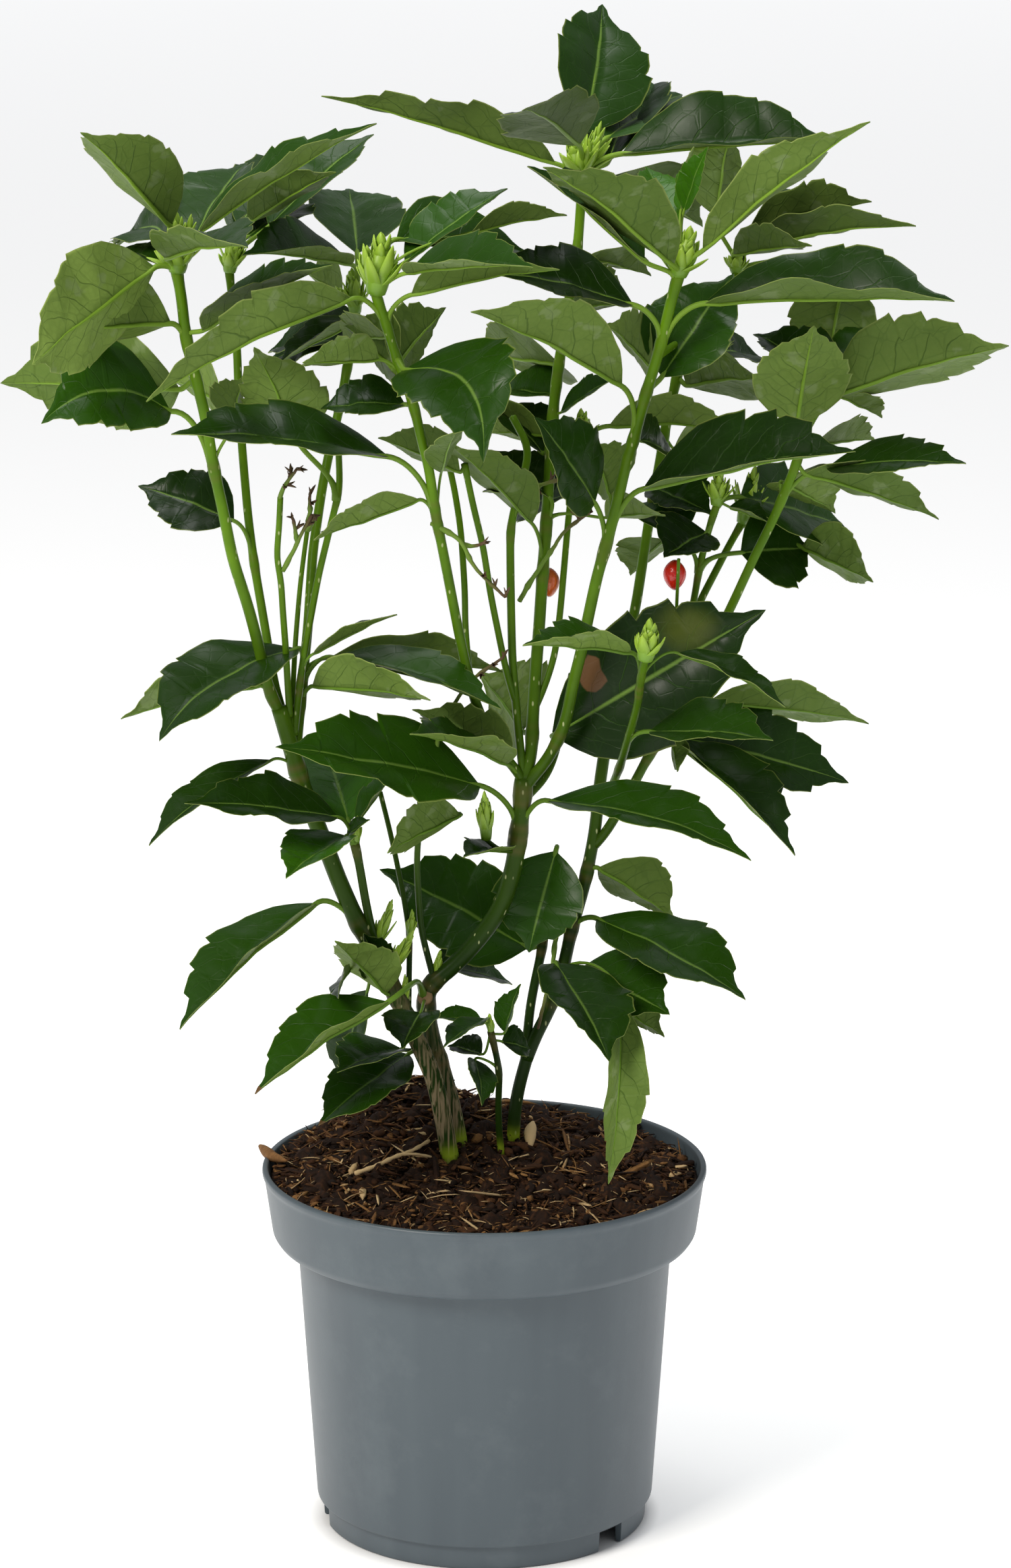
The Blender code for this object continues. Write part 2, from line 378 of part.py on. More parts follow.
    Leaf("s2", "shoot", at=(729, 1534), base=(714, 1564), tip=(664, 1550), out=10, wide=18, turn=55, teeth=2),
    Leaf("s3", "shoot", at=(730, 1536), base=(749, 1531), tip=(771, 1459), out=8, wide=16, turn=60, teeth=2),
    Leaf("s4", "shoot", at=(732, 1545), base=(745, 1545), tip=(788, 1556), out=4, wide=16, turn=40, teeth=2),
    Leaf("s5", "shoot", at=(740, 1590), base=(705, 1572), tip=(717, 1637),
         out=-24, wide=14, turn=40, teeth=2),
    Leaf("s6", "shoot", at=(728, 1532), base=(715, 1515), tip=(640, 1508), out=-8, wide=14, turn=60, teeth=2),
]

# Each bud: its stem, photo pixels of its foot and its tip, and its diameter
BUDS = [
    ("L1", (264, 404), (268, 342), 11.0), ("L2", (341, 404), (345, 365), 8.0),
    ("L6", (527, 464), (522, 405), 8.0), ("S1", (557, 436), (569, 352), 13.0),
    ("S3", (863, 268), (848, 206), 11.0), ("S3", (866, 264), (892, 190), 7.0),
    ("S4", (1008, 410), (1024, 345), 11.0), ("S4b", (1095, 406), (1092, 372), 8.0),
    ("S5", (860, 656), (864, 612), 8.0), ("S7", (720, 1247), (719, 1180), 8.5),
    ("Rb", (1065, 750), (1067, 700), 8.0), ("Re", (1102, 776), (1121, 700), 8.0),
    ("Rg", (957, 980), (966, 925), 10.0), ("L7", (526, 1254), (530, 1215), 6.0),
    ("L8", (604, 1390), (612, 1352), 5.0), ("mid_trunk", (644, 1450), (653, 1412), 5.0),
    ("shoot", (729, 1534), (726, 1506), 4.5),
]

# Each berry: the stem that it hangs behind, photo pixel of its centre, diameter and length
BERRIES = {
    "berry_red": ("Rh", (1001, 853), 10.0, 13.0),
    "berry_orange": ("S3", (815, 864), 9.0, 12.5),
}

COLOURS = {
    "pot": ((0.155, 0.195, 0.215), 0.42),
    "soil": ((0.022, 0.010, 0.005), 0.95),
    "leaves": ((0.030, 0.085, 0.016), 0.32),
    "berry_red": ((0.62, 0.030, 0.010), 0.25),
    "berry_orange": ((0.70, 0.16, 0.050), 0.30),
}


def seen(pixel, depth):
    """Point on the sight line through a photo pixel, at the depth y."""
    across = (pixel[0] - PHOTO_CENTRE[0]) / FOCAL_PIXELS
    above = (PHOTO_CENTRE[1] - pixel[1]) / FOCAL_PIXELS
    ray = FORWARD + SIDEWAYS * across + UPWARD * above
    return EYE + ray * (depth - EYE[1]) / ray[1]


def stem_line(name):
    """Points and radii along a stem, its depth changing evenly from foot to top."""
    stem = STEMS[name]
    pixels = np.array(stem.route, float)
    run = np.concatenate([[0.0], np.cumsum(np.hypot(*np.diff(pixels, axis=0).T))])
    share = run / run[-1]
    depths = stem.depth + (stem.top_depth - stem.depth) * DEPTH_SPREAD * share
    if stem.grows_on:
        depths += (stem_point(stem.grows_on, stem.route[0])[1] - stem.depth) * (1 - share) ** 2
    points = np.array([seen(pixel, depth) for pixel, depth in zip(pixels, depths)])
    return points, (stem.foot + (stem.top - stem.foot) * share) / 2


def stem_point(name, pixel):
    """The place on a stem's centre line that shows nearest to a photo pixel."""
    points, _ = stem_line(name)
    pixels = np.array(STEMS[name].route, float)
    start, step = pixels[:-1], np.diff(pixels, axis=0)
    share = np.clip(((pixel - start) * step).sum(1) / (step ** 2).sum(1), 0, 1)
    nearest = np.argmin(np.hypot(*(start + step * share[:, None] - pixel).T))
    return points[nearest] + (points[nearest + 1] - points[nearest]) * share[nearest]


# Half width along a blade, from its base to its drawn-out tip
WIDTH_PLACES = (0.0, 0.05, 0.12, 0.25, 0.40, 0.55, 0.70, 0.85, 0.94, 1.0)
WIDTH_SHARES = (0.05, 0.30, 0.58, 0.88, 1.0, 0.94, 0.74, 0.38, 0.15, 0.0)
TOOTH_PLACES = {1: (0.62,), 2: (0.55, 0.75), 3: (0.48, 0.65, 0.81), 4: (0.40, 0.54, 0.68, 0.82)}
TOOTH_RUN = 0.10
TOOTH_CUT_RUN = 0.05
TOOTH_OUT = 0.09
TOOTH_CUT = 0.10


def half_width(along, teeth):
    """Half width of a blade as a share of its widest, with coarse teeth that point to the tip."""
    share = np.interp(along, WIDTH_PLACES, WIDTH_SHARES)
    for tooth in TOOTH_PLACES[teeth]:
        before = np.clip((along - tooth + TOOTH_RUN) / TOOTH_RUN, 0, 1) * (along <= tooth)
        after = np.clip(1 - (along - tooth) / TOOTH_CUT_RUN, 0, 1) * (along > tooth)
        share = share + TOOTH_OUT * before ** 2 - TOOTH_CUT * after
    return np.clip(share, 0.0, None)


def leaf_frame(leaf):
    """Node, blade base and tip of a leaf, with its chord, side and upper-face directions."""
    node = stem_point(leaf.stem, leaf.at)
    base = seen(leaf.base, node[1] + leaf.out * leaf.lean * 1.1)
    tip = seen(leaf.tip, node[1] + leaf.out * DEPTH_SPREAD + leaf.push)
    chord = (tip - base) / np.linalg.norm(tip - base)
    view = EYE - (base + tip) / 2
    face = view - view @ chord * chord
    face /= np.linalg.norm(face)
    lift = np.cross(chord, face)
    upright = 0.12
    if lift[2] < -upright or (abs(lift[2]) <= upright and lift[0] < 0):
        lift = -lift
    turn = math.radians(leaf.turn)
    normal = math.cos(turn) * face + math.sin(turn) * lift
    side = math.cos(turn) * lift - math.sin(turn) * face
    return node, base, tip, chord, side, normal


def blade(leaf, along, across, teeth):
    """Blade surface on a grid: along runs from base to tip, across from -1 to 1 over the midrib.

    The half width times across is laid out at the fold angle, and the midrib bows by arch and
    sweep times 4u(1 - u) of its length.
    """
    _, base, tip, _, side, normal = leaf_frame(leaf)
    u, v = np.meshgrid(along, across, indexing="ij")
    reach = np.abs(v) * half_width(u, teeth) * leaf.wide / 2
    fold = math.radians(leaf.fold)
    bow = 4 * u * (1 - u) * np.linalg.norm(tip - base)
    up = math.sin(fold) * reach + leaf.arch * bow
    out = np.sign(v) * math.cos(fold) * reach + leaf.sweep * bow
    return base + u[..., None] * (tip - base) + up[..., None] * normal + out[..., None] * side


CLEARANCE = 7.0
SAMPLES_ALONG = np.linspace(0.15, 1.0, 12)
SAMPLES_ACROSS = np.array([-0.9, -0.45, 0.0, 0.45, 0.9])
SETTLE_ROUNDS = 30
LARGEST_PUSH = 40.0


def blade_clouds():
    """Sample points of every blade."""
    rows = [blade(leaf, SAMPLES_ALONG, SAMPLES_ACROSS, leaf.teeth).reshape(-1, 3) for leaf in LEAVES]
    return np.array(rows, np.float32)


def stem_posts():
    """Sample points every few millimetres along the stems, their radii and their stems' numbers."""
    posts, radii, owners = [], [], []
    for number, name in enumerate(STEMS):
        points, thick = stem_line(name)
        for low, high, radius in zip(points[:-1], points[1:], thick):
            count = max(1, round(np.linalg.norm(high - low) / CLEARANCE))
            posts += [low + (high - low) * step / count for step in range(count)]
            radii += [radius] * count
            owners += [number] * count
    return np.array(posts, np.float32), np.array(radii, np.float32), np.array(owners)


def settle():
    """Moves leaf tips in depth until blades pass in front of or behind each other and the stems.

    Each pair keeps the order in depth that it starts with, and a tip is pushed along its sight
    line, which leaves the view from the front as it was.
    """
    clouds = blade_clouds()
    middle = clouds.mean(1)
    span = np.ptp(clouds, axis=1).max(1)
    first, second = np.triu_indices(len(LEAVES), 1)
    apart = np.hypot(*(middle[first] - middle[second])[:, [0, 2]].T)
    near = apart < (span[first] + span[second]) / 2 + CLEARANCE
    first, second = first[near], second[near]
    gaps = clouds[first][:, :, None] - clouds[second][:, None]
    over = np.hypot(gaps[..., 0], gaps[..., 2]) < CLEARANCE + 2
    behind = np.where(over.any((1, 2)), (gaps[..., 1] * over).sum((1, 2)),
                      (middle[first] - middle[second])[:, 1])
    order = np.where(behind >= 0, 1.0, -1.0)

    posts, radii, owners = stem_posts()
    gaps = clouds[:, :, None] - posts[None, None]
    over = np.hypot(gaps[..., 0], gaps[..., 2]) < CLEARANCE + 5
    depth = (gaps[..., 1] * over).sum(1)
    by_stem = np.zeros((len(LEAVES), len(STEMS)))
    for number in range(len(STEMS)):
        by_stem[:, number] = depth[:, owners == number].sum(1)
    post_order = np.sign(by_stem)[:, owners]

    lever = np.repeat(SAMPLES_ALONG, len(SAMPLES_ACROSS)).astype(np.float32)
    free = lever > 0.3
    for _ in range(SETTLE_ROUNDS):
        gap = np.linalg.norm(clouds[first][:, :, None] - clouds[second][:, None], axis=-1)
        need = (np.clip(CLEARANCE - gap, 0, None) * lever[:, None]).max((1, 2)) * order
        force = np.zeros(len(LEAVES))
        np.add.at(force, first, need / 2)
        np.add.at(force, second, -need / 2)
        gap = np.linalg.norm(clouds[:, :, None] - posts[None, None], axis=-1)
        close = np.clip(CLEARANCE * 0.6 + radii - gap, 0, None) * free[:, None]
        touched = np.maximum((close > 0).sum((1, 2)), 1)
        force += 0.7 * (close.sum(1) * post_order).sum(1) / touched
        for leaf, pull in zip(LEAVES, force):
            leaf.push = float(np.clip(leaf.push + 0.6 * np.clip(pull, -4, 4), -LARGEST_PUSH, LARGEST_PUSH))
        clouds = blade_clouds()


def loft(sections, cap=True):
    """Faces that join equal rings of points in turn, closed by an end face at each end."""
    count = len(sections[0])
    points = np.concatenate(sections)
    faces = []
    for ring in range(len(sections) - 1):
        for place in range(count):
            after = (place + 1) % count
            a, b = ring * count + place, ring * count + after
            faces.append((a, b, b + count, a + count))
    if cap:
        faces.append(tuple(range(count - 1, -1, -1)))
        faces.append(tuple(range(len(points) - count, len(points))))
    return points, faces


def turned(vector, start, end):
    """A direction carried along as start swings round to end."""
    swing = Vector(start).rotation_difference(Vector(end))
    return np.array(swing @ Vector(vector))


def leaf_solid(leaf):
    """One leaf as a closed loft: petiole from inside the stem, then the folded, toothed blade."""
    node, base, tip, chord, side, normal = leaf_frame(leaf)
    small = np.linalg.norm(tip - base) < SMALL_LEAF
    teeth = 1 if small else 2
    stations = SMALL_STATIONS if small else LARGE_STATIONS
    across = np.array([-1.0, 1.0]) if small else np.array([-1.0, 0.0, 1.0])
    top = blade(leaf, np.array(stations), across, teeth)
    top[0] = base + np.outer(across * PETIOLE_HALF_WIDTH, side)
    top[-1] = tip + np.outer(across * PETIOLE_HALF_WIDTH / 3, side)
    if small:
        middle = blade(leaf, np.array(stations), np.array([0.0]), teeth)[:, 0]
        top[1:-1] += (middle - top.mean(1))[1:-1, None] * 0.5
    thick = np.full(len(stations), BLADE_THICKNESS / 2)
    thick[0] = PETIOLE_HALF_DEPTH
    sections = []
    petiole = (base - node) / np.linalg.norm(base - node)
    root_side, root_normal = turned(side, chord, petiole), turned(normal, chord, petiole)
    inside = node + petiole * STEMS[leaf.stem].top * ROOT_SHARE
    root = inside + np.outer(across * PETIOLE_HALF_WIDTH, root_side)
    rim = PETIOLE_HALF_DEPTH * root_normal
    sections.append(np.concatenate([root + rim, (root - rim)[::-1]]))
    for row, half in zip(top, thick):
        sections.append(np.concatenate([row + half * normal, (row - half * normal)[::-1]]))
    return loft(sections)


def ring(centre, direction, radius, sides, start=0.0):
    """A regular polygon of points square to a direction."""
    axis = Vector(direction).normalized()
    swing = Vector((0, 0, 1)).rotation_difference(axis)
    angles = start + np.arange(sides) * 2 * math.pi / sides
    flat = np.stack([np.cos(angles), np.sin(angles), np.zeros(sides)], 1) * radius
    return np.array([np.array(swing @ Vector(point)) for point in flat]) + centre


def stem_route(name):
    """Points every STEM_STEP along a stem, a rooted one starting down in the soil."""
    points, radii = stem_line(name)
    run = np.concatenate([[0.0], np.cumsum(np.linalg.norm(np.diff(points, axis=0), axis=1))])
    count = max(3, round(run[-1] / STEM_STEP) + 1)
    marks = np.linspace(0, run[-1], count)
    route = np.stack([np.interp(marks, run, points[:, k]) for k in range(3)], 1)
    widths = np.interp(marks, run, radii)
    if not STEMS[name].grows_on:
        down = (route[0] - route[1]) / np.linalg.norm(route[1] - route[0])
        route = np.concatenate([[route[0] + down * STEM_DEPTH_IN_SOIL], route])
        widths = np.concatenate([[widths[0]], widths])
    return route, widths


def tube(route, radii, sides):
    """A closed tube of straight runs through the points of a route."""
    heading = np.gradient(route, axis=0)
    return loft([ring(p, d, r, sides) for p, d, r in zip(route, heading, radii)])


def stem_sides(name):
    """Number of sides of a stem, more on the thick ones."""
    foot = STEMS[name].foot
    if foot > TRUNK_DIAMETER:
        return TRUNK_SIDES
    return STEM_SIDES if foot > TWIG_DIAMETER else TWIG_SIDES


def stem_solid(name):
    """One stem as a closed tube."""
    return tube(*stem_route(name), stem_sides(name))


def bud_solid(stem, foot, tip, diameter):
    """A bud as a spindle of three rings that starts inside the stem's end."""
    low = stem_point(stem, foot)
    high = seen(tip, low[1])
    places = ((0.0, 0.35), (0.35, 1.0), (0.7, 0.8), (1.0, 0.12))
    sections = [ring(low + (high - low) * at, high - low, diameter / 2 * share, 5) for at, share in places]
    return loft(sections)


def berry_solid(stem, centre, diameter, length):
    """An egg-shaped berry whose side hangs close behind its stalk."""
    stalk = stem_point(stem, centre)
    beside = seen(centre, stalk[1])
    aside = beside[0] - stalk[0]
    clear = STEMS[stem].top / 2 + diameter / 2 + FIT_GAP
    middle = seen(centre, stalk[1] + math.sqrt(clear ** 2 - aside ** 2))
    sections = []
    for step in range(1, 6):
        angle = math.pi * step / 6
        level = middle - np.array([0, 0, math.cos(angle) * length / 2])
        sections.append(ring(level, (0, 0, 1), math.sin(angle) * diameter / 2, 8))
    return loft(sections)


def soil_height(x, y):
    """Height of the soil: a level bed with mounds heaped round the stems."""
    height = SOIL_LEVEL
    for centre_x, centre_y, rise, spread in MOUNDS:
        height += rise * math.exp(-((x - centre_x) ** 2 + (y - centre_y) ** 2) / (2 * spread ** 2))
    return height


def make_material(name, colour, roughness):
    """A Principled material of one colour."""
    material = bpy.data.materials.new(name)
    material.use_nodes = True
    shader = material.node_tree.nodes["Principled BSDF"]
    shader.inputs["Base Color"].default_value = (*colour, 1.0)
    shader.inputs["Roughness"].default_value = roughness
    shader.inputs["Metallic"].default_value = 0.0
    return material


def make_object(name, solid, material=None):
    """An object from points in millimetres and faces, with its normals made to point out."""
    points, faces = solid
    mesh = bpy.data.meshes.new(name)
    mesh.from_pydata((points * 0.001).tolist(), [], faces)
    shell = bmesh.new()
    shell.from_mesh(mesh)
    bmesh.ops.triangulate(shell, faces=shell.faces)
    bmesh.ops.recalc_face_normals(shell, faces=shell.faces)
    shell.to_mesh(mesh)
    shell.free()
    obj = bpy.data.objects.new(name, mesh)
    bpy.context.scene.collection.objects.link(obj)
    if material:
        mesh.materials.append(material)
    return obj


def combine(obj, others, operation, solver):
    """Applies one Boolean of an object with a collection of others, which are then removed."""
    group = bpy.data.collections.new("operands")
    bpy.context.scene.collection.children.link(group)
    for other in others:
        group.objects.link(other)
    step = obj.modifiers.new(operation, "BOOLEAN")
    step.operation = operation
    step.solver = solver
    step.operand_type = "COLLECTION"
    step.collection = group
    bpy.context.view_layer.update()
    done = bpy.data.meshes.new_from_object(obj.evaluated_get(bpy.context.evaluated_depsgraph_get()))
    obj.modifiers.clear()
    obj.data = done
    for other in list(others):
        bpy.data.objects.remove(other)
    bpy.data.collections.remove(group)


def keep_main_body(obj):
    """Drops the sealed hollows and loose scraps that a union leaves."""
    shell = bmesh.new()
    shell.from_mesh(obj.data)
    left = set(shell.verts)
    bodies = []
    while left:
        body, edge_of = set(), [left.pop()]
        while edge_of:
            vert = edge_of.pop()
            body.add(vert)
            for edge in vert.link_edges:
                other = edge.other_vert(vert)
                if other in left:
                    left.discard(other)
                    edge_of.append(other)
        bodies.append(body)
    bodies.sort(key=len)
    for body in bodies[:-1]:
        bmesh.ops.delete(shell, geom=list(body), context="VERTS")
    bmesh.ops.triangulate(shell, faces=shell.faces)
    shell.to_mesh(obj.data)
    shell.free()


def build_plant(plant, node, material):
    """Stems, buds and leaves of one plant, joined into a single solid."""
    stems = [name for name, stem in STEMS.items() if stem.plant == plant]
    trunk = make_object(node, stem_solid(stems[0]), material)
    parts = [make_object("part", stem_solid(name)) for name in stems[1:]]
    parts += [make_object("part", bud_solid(*bud)) for bud in BUDS if bud[0] in stems]
    parts += [make_object("part", leaf_solid(leaf)) for leaf in LEAVES if leaf.stem in stems]
    combine(trunk, parts, "UNION", "MANIFOLD")
    keep_main_body(trunk)
    return trunk


def revolve(profile, sides):
    """A solid turned from a profile that starts and ends on the axis."""
    rings = [ring(np.array([0, 0, height]), (0, 0, 1), radius, sides) for radius, height in profile[1:-1]]
    points, faces = loft(rings, cap=False)
    foot, head = len(points), len(points) + 1
    points = np.concatenate([points, [[0, 0, profile[0][1]], [0, 0, profile[-1][1]]]])
    last = len(rings[0]) * (len(rings) - 1)
    for place in range(sides):
        after = (place + 1) % sides
        faces.append((foot, after, place))
        faces.append((head, last + place, last + after))
    return points, faces


def wall_inside(height):
    """Inner radius of the pot at a height below its band."""
    share = (height - FOOT_HEIGHT) / (BAND_BOTTOM - FOOT_HEIGHT)
    return WALL_FOOT_RADIUS + (WALL_TOP_RADIUS - WALL_FOOT_RADIUS) * share - WALL


def build_pot():
    """The turned pot: hub, foot ring, tapered wall, flared band and rolled lip, with its cuts."""
    floor = FOOT_HEIGHT + WALL
    profile = [
        (0, 0), (HUB_RADIUS, 0), (HUB_RADIUS, FOOT_HEIGHT), (FOOT_RADIUS - 2.8, FOOT_HEIGHT),
        (FOOT_RADIUS - 2.4, 0), (FOOT_RADIUS, 0), (FOOT_RADIUS + 0.6, FOOT_HEIGHT),
        (WALL_FOOT_RADIUS, FOOT_HEIGHT + 0.4), (WALL_TOP_RADIUS, BAND_BOTTOM - 4.4),
        (BAND_FOOT_RADIUS - 2.0, BAND_BOTTOM - 2.2), (BAND_FOOT_RADIUS, BAND_BOTTOM + 0.8),
        (RIM_RADIUS - 1.0, POT_HEIGHT - 4.0), (RIM_RADIUS, POT_HEIGHT - 2.2),
        (RIM_RADIUS - 0.6, POT_HEIGHT), (RIM_RADIUS - 2.2, POT_HEIGHT),
        (RIM_RADIUS - 2.9, POT_HEIGHT - 1.2), (BAND_FOOT_RADIUS - WALL, BAND_BOTTOM + 1.8),
        (BAND_FOOT_RADIUS - WALL - 1.6, BAND_BOTTOM), (WALL_TOP_RADIUS - WALL, BAND_BOTTOM - 2.4),
        (wall_inside(floor), floor), (0, floor)]
    pot = make_object("pot", revolve(profile, POT_SIDES), make_material("blue_grey_plastic", *COLOURS["pot"]))
    cuts = []
    for azimuth in NOTCH_AZIMUTHS:
        angle = math.radians(azimuth)
        outward = np.array([math.sin(angle), -math.cos(angle), 0.0])
        along = np.array([math.cos(angle), math.sin(angle), 0.0]) * NOTCH_WIDTH / 2
        corners = [outward * (FOOT_RADIUS - 6) - along, outward * (FOOT_RADIUS - 6) + along,
                   outward * (FOOT_RADIUS + 6) + along, outward * (FOOT_RADIUS + 6) - along]
        low, high = np.array([0, 0, -2.0]), np.array([0, 0, NOTCH_HEIGHT])
        cuts.append(make_object("cut", loft([np.array(corners) + low, np.array(corners) + high])))
    for number in range(DRAIN_COUNT):
        angle = 2 * math.pi * (number + 0.5) / DRAIN_COUNT
        centre = np.array([math.cos(angle), math.sin(angle), 0.0]) * DRAIN_CIRCLE
        low, high = np.array([0, 0, 2.0]), np.array([0, 0, floor + 3.0])
        ends = [ring(centre + z, (0, 0, 1), DRAIN_RADIUS, 6) for z in (low, high)]
        cuts.append(make_object("cut", loft(ends)))
    combine(pot, cuts, "DIFFERENCE", "EXACT")
    return pot


def build_soil():
    """The root ball and its heaped top, filling the pot, with a plain hole for each rooted stem."""
    floor = FOOT_HEIGHT + WALL + FIT_GAP
    rings = [ring(np.array([0, 0, floor]), (0, 0, 1), wall_inside(floor) - FIT_GAP, SOIL_SIDES),
             ring(np.array([0, 0, BAND_BOTTOM - 2.0]), (0, 0, 1),
                  WALL_TOP_RADIUS - WALL - FIT_GAP, SOIL_SIDES),
             ring(np.array([0, 0, BAND_BOTTOM + 2.6]), (0, 0, 1),
                  BAND_FOOT_RADIUS - WALL - 1.6 - FIT_GAP, SOIL_SIDES)]
    edge = RIM_RADIUS - 5.0
    for step in range(SOIL_RINGS):
        flat = ring(np.zeros(3), (0, 0, 1), edge * (1 - step / SOIL_RINGS), SOIL_SIDES)
        flat[:, 2] = [soil_height(x, y) for x, y, _ in flat]
        rings.append(flat)
    points, faces = loft(rings, cap=False)
    foot, head = len(points), len(points) + 1
    points = np.concatenate([points, [[0, 0, floor], [0, 0, soil_height(0, 0)]]])
    last = SOIL_SIDES * (len(rings) - 1)
    for place in range(SOIL_SIDES):
        after = (place + 1) % SOIL_SIDES
        faces.append((foot, after, place))
        faces.append((head, last + place, last + after))
    soil = make_object("soil", (points, faces), make_material("potting_soil", *COLOURS["soil"]))
    holes = []
    for name, stem in STEMS.items():
        if stem.grows_on:
            continue
        route, radii = stem_route(name)
        route = route[:3].copy()
        route[0] += (route[0] - route[1]) / np.linalg.norm(route[1] - route[0]) * FIT_GAP
        holes.append(make_object("hole", tube(route, radii[:3] + FIT_GAP * 1.2, stem_sides(name))))
    combine(soil, holes, "DIFFERENCE", "EXACT")
    return soil


for old in list(bpy.data.objects):
    bpy.data.objects.remove(old)
settle()
green = make_material("leaf_and_stem_green", *COLOURS["leaves"])
build_pot()
build_soil()
build_plant("left", "plant_left", green)
build_plant("middle", "plant_middle", green)
build_plant("right", "plant_right", green)
build_plant("shoot", "young_shoot", green)
for berry, facts in BERRIES.items():
    make_object(berry, berry_solid(*facts), make_material(berry + "_skin", *COLOURS[berry]))
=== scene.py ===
import math
from dataclasses import dataclass

import bpy
import numpy as np
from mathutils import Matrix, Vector


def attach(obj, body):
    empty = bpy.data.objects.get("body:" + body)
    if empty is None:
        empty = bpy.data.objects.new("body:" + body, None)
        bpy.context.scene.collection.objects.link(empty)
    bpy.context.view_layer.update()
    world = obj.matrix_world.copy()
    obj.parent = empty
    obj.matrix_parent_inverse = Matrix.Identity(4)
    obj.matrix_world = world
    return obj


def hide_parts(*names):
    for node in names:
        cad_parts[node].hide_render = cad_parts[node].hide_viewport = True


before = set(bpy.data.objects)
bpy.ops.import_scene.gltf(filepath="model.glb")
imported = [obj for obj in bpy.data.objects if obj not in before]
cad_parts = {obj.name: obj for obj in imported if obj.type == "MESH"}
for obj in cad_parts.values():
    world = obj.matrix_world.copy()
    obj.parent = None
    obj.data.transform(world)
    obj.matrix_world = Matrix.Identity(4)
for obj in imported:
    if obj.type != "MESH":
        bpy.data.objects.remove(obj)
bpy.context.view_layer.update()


# The pot: a 19 cm nursery pot moulded in one shot of blue-grey polypropylene. Its thin wall
# tapers to a foot ring with three drain notches, and a flared band under the lip stiffens it.
# The floor has a flat hub, where the plastic was injected, and round drain holes.

MM = 0.001
RIM_RADIUS = 95.0
POT_HEIGHT = 157.6
BAND_BOTTOM = 128.8
BAND_FOOT_RADIUS = 90.6
WALL_TOP_RADIUS = 80.0
WALL_FOOT_RADIUS = 72.3
FOOT_RADIUS = 69.3
FOOT_HEIGHT = 10.2
WALL = 2.0
HUB_RADIUS = 12.0
CORNER_RADIUS = 1.1
NOTCH_AZIMUTHS = (50.8, 165.0, -80.0)
NOTCH_SPREAD = 12.4
NOTCH_HEIGHT = 9.0
# How wide the foot ring is, and what share of its height is left in a notch
FOOT_RING_WIDTH = 3.5
NOTCH_SPARE = 0.02
DRAIN_COUNT = 6
DRAIN_RADIUS = 4.0
DRAIN_CIRCLE = 46.0
DRAIN_SIDES = 24
# How far the drills reach beyond the floor's two faces
DRILL_MARGIN = 3
POT_COLUMNS = 180
# The two columns at each side of a notch stand this many degrees from it
NOTCH_EDGE = 0.05
POT_SHARP_EDGE = 50.0


def linear(hex_colour):
    """Linear RGBA of an sRGB hex colour.

    A share c of full light becomes c / 12.92 up to 0.04045, and ((c + 0.055) / 1.055)^2.4 above.
    """
    parts = np.array([int(hex_colour[k:k + 2], 16) / 255 for k in (1, 3, 5)])
    low, high = parts / 12.92, ((parts + 0.055) / 1.055) ** 2.4
    return (*np.where(parts <= 0.04045, low, high), 1.0)


def set_inputs(tree, node, inputs):
    """Links each input given as a socket, and sets any other, a hex colour as linear light."""
    for key, value in inputs.items():
        if isinstance(value, bpy.types.NodeSocket):
            tree.links.new(value, node.inputs[key])
        else:
            node.inputs[key].default_value = linear(value) if isinstance(value, str) else value


def add_node(tree, kind, inputs=None, output=0, **settings):
    """Adds a shader node with its settings and inputs, and gives one of its outputs."""
    node = tree.nodes.new(kind)
    for name, value in settings.items():
        setattr(node, name, value)
    set_inputs(tree, node, inputs or {})
    return node.outputs[output]


def coordinates(tree):
    """Where a point lies on its piece, in metres."""
    return add_node(tree, "ShaderNodeTexCoord", output="Object")


def field(tree, name):
    """The number that a piece's points carry under a name."""
    return add_node(tree, "ShaderNodeAttribute", output="Fac", attribute_name=name)


def maths(tree, operation, *values):
    """An operation on one to three numbers or sockets."""
    return add_node(tree, "ShaderNodeMath", dict(enumerate(values)), operation=operation)


def ramp(tree, value, start, end, low=0.0, high=1.0, kind="LINEAR"):
    """The value carried from start..end to low..high, and held at their ends."""
    inputs = {"Value": value, "From Min": start, "From Max": end, "To Min": low, "To Max": high}
    return add_node(tree, "ShaderNodeMapRange", inputs, interpolation_type=kind)


def noise(tree, place, scale, detail, roughness=0.5, stretch=None):
    """Cloudy noise of a scale per metre, stretched first where a scale for each axis is given."""
    if stretch:
        place = add_node(tree, "ShaderNodeMapping", {"Vector": place, "Scale": stretch})
    return add_node(tree, "ShaderNodeTexNoise", {"Vector": place, "Scale": scale, "Detail": detail,
                                                 "Roughness": roughness})


def bump(tree, height, strength, distance, over=None):
    """A shading normal raised by a height times a distance in metres, over another bump."""
    inputs = {"Height": height, "Strength": strength, "Distance": distance}
    if over is not None:
        inputs["Normal"] = over
    return add_node(tree, "ShaderNodeBump", inputs)


def layered(tree, below, layers):
    """Colours laid over a ground colour in turn, each by its mask times its strength."""
    for colour, mask, strength in layers:
        share = maths(tree, "MULTIPLY", mask, strength)
        below = add_node(tree, "ShaderNodeMix", {"Factor": share, 6: below, 7: colour}, 2,
                         data_type="RGBA")
    return below


def start_material(name):
    """A new material with its node tree and its Principled shader."""
    material = bpy.data.materials.new(name)
    material.use_nodes = True
    return material, material.node_tree, material.node_tree.nodes["Principled BSDF"]


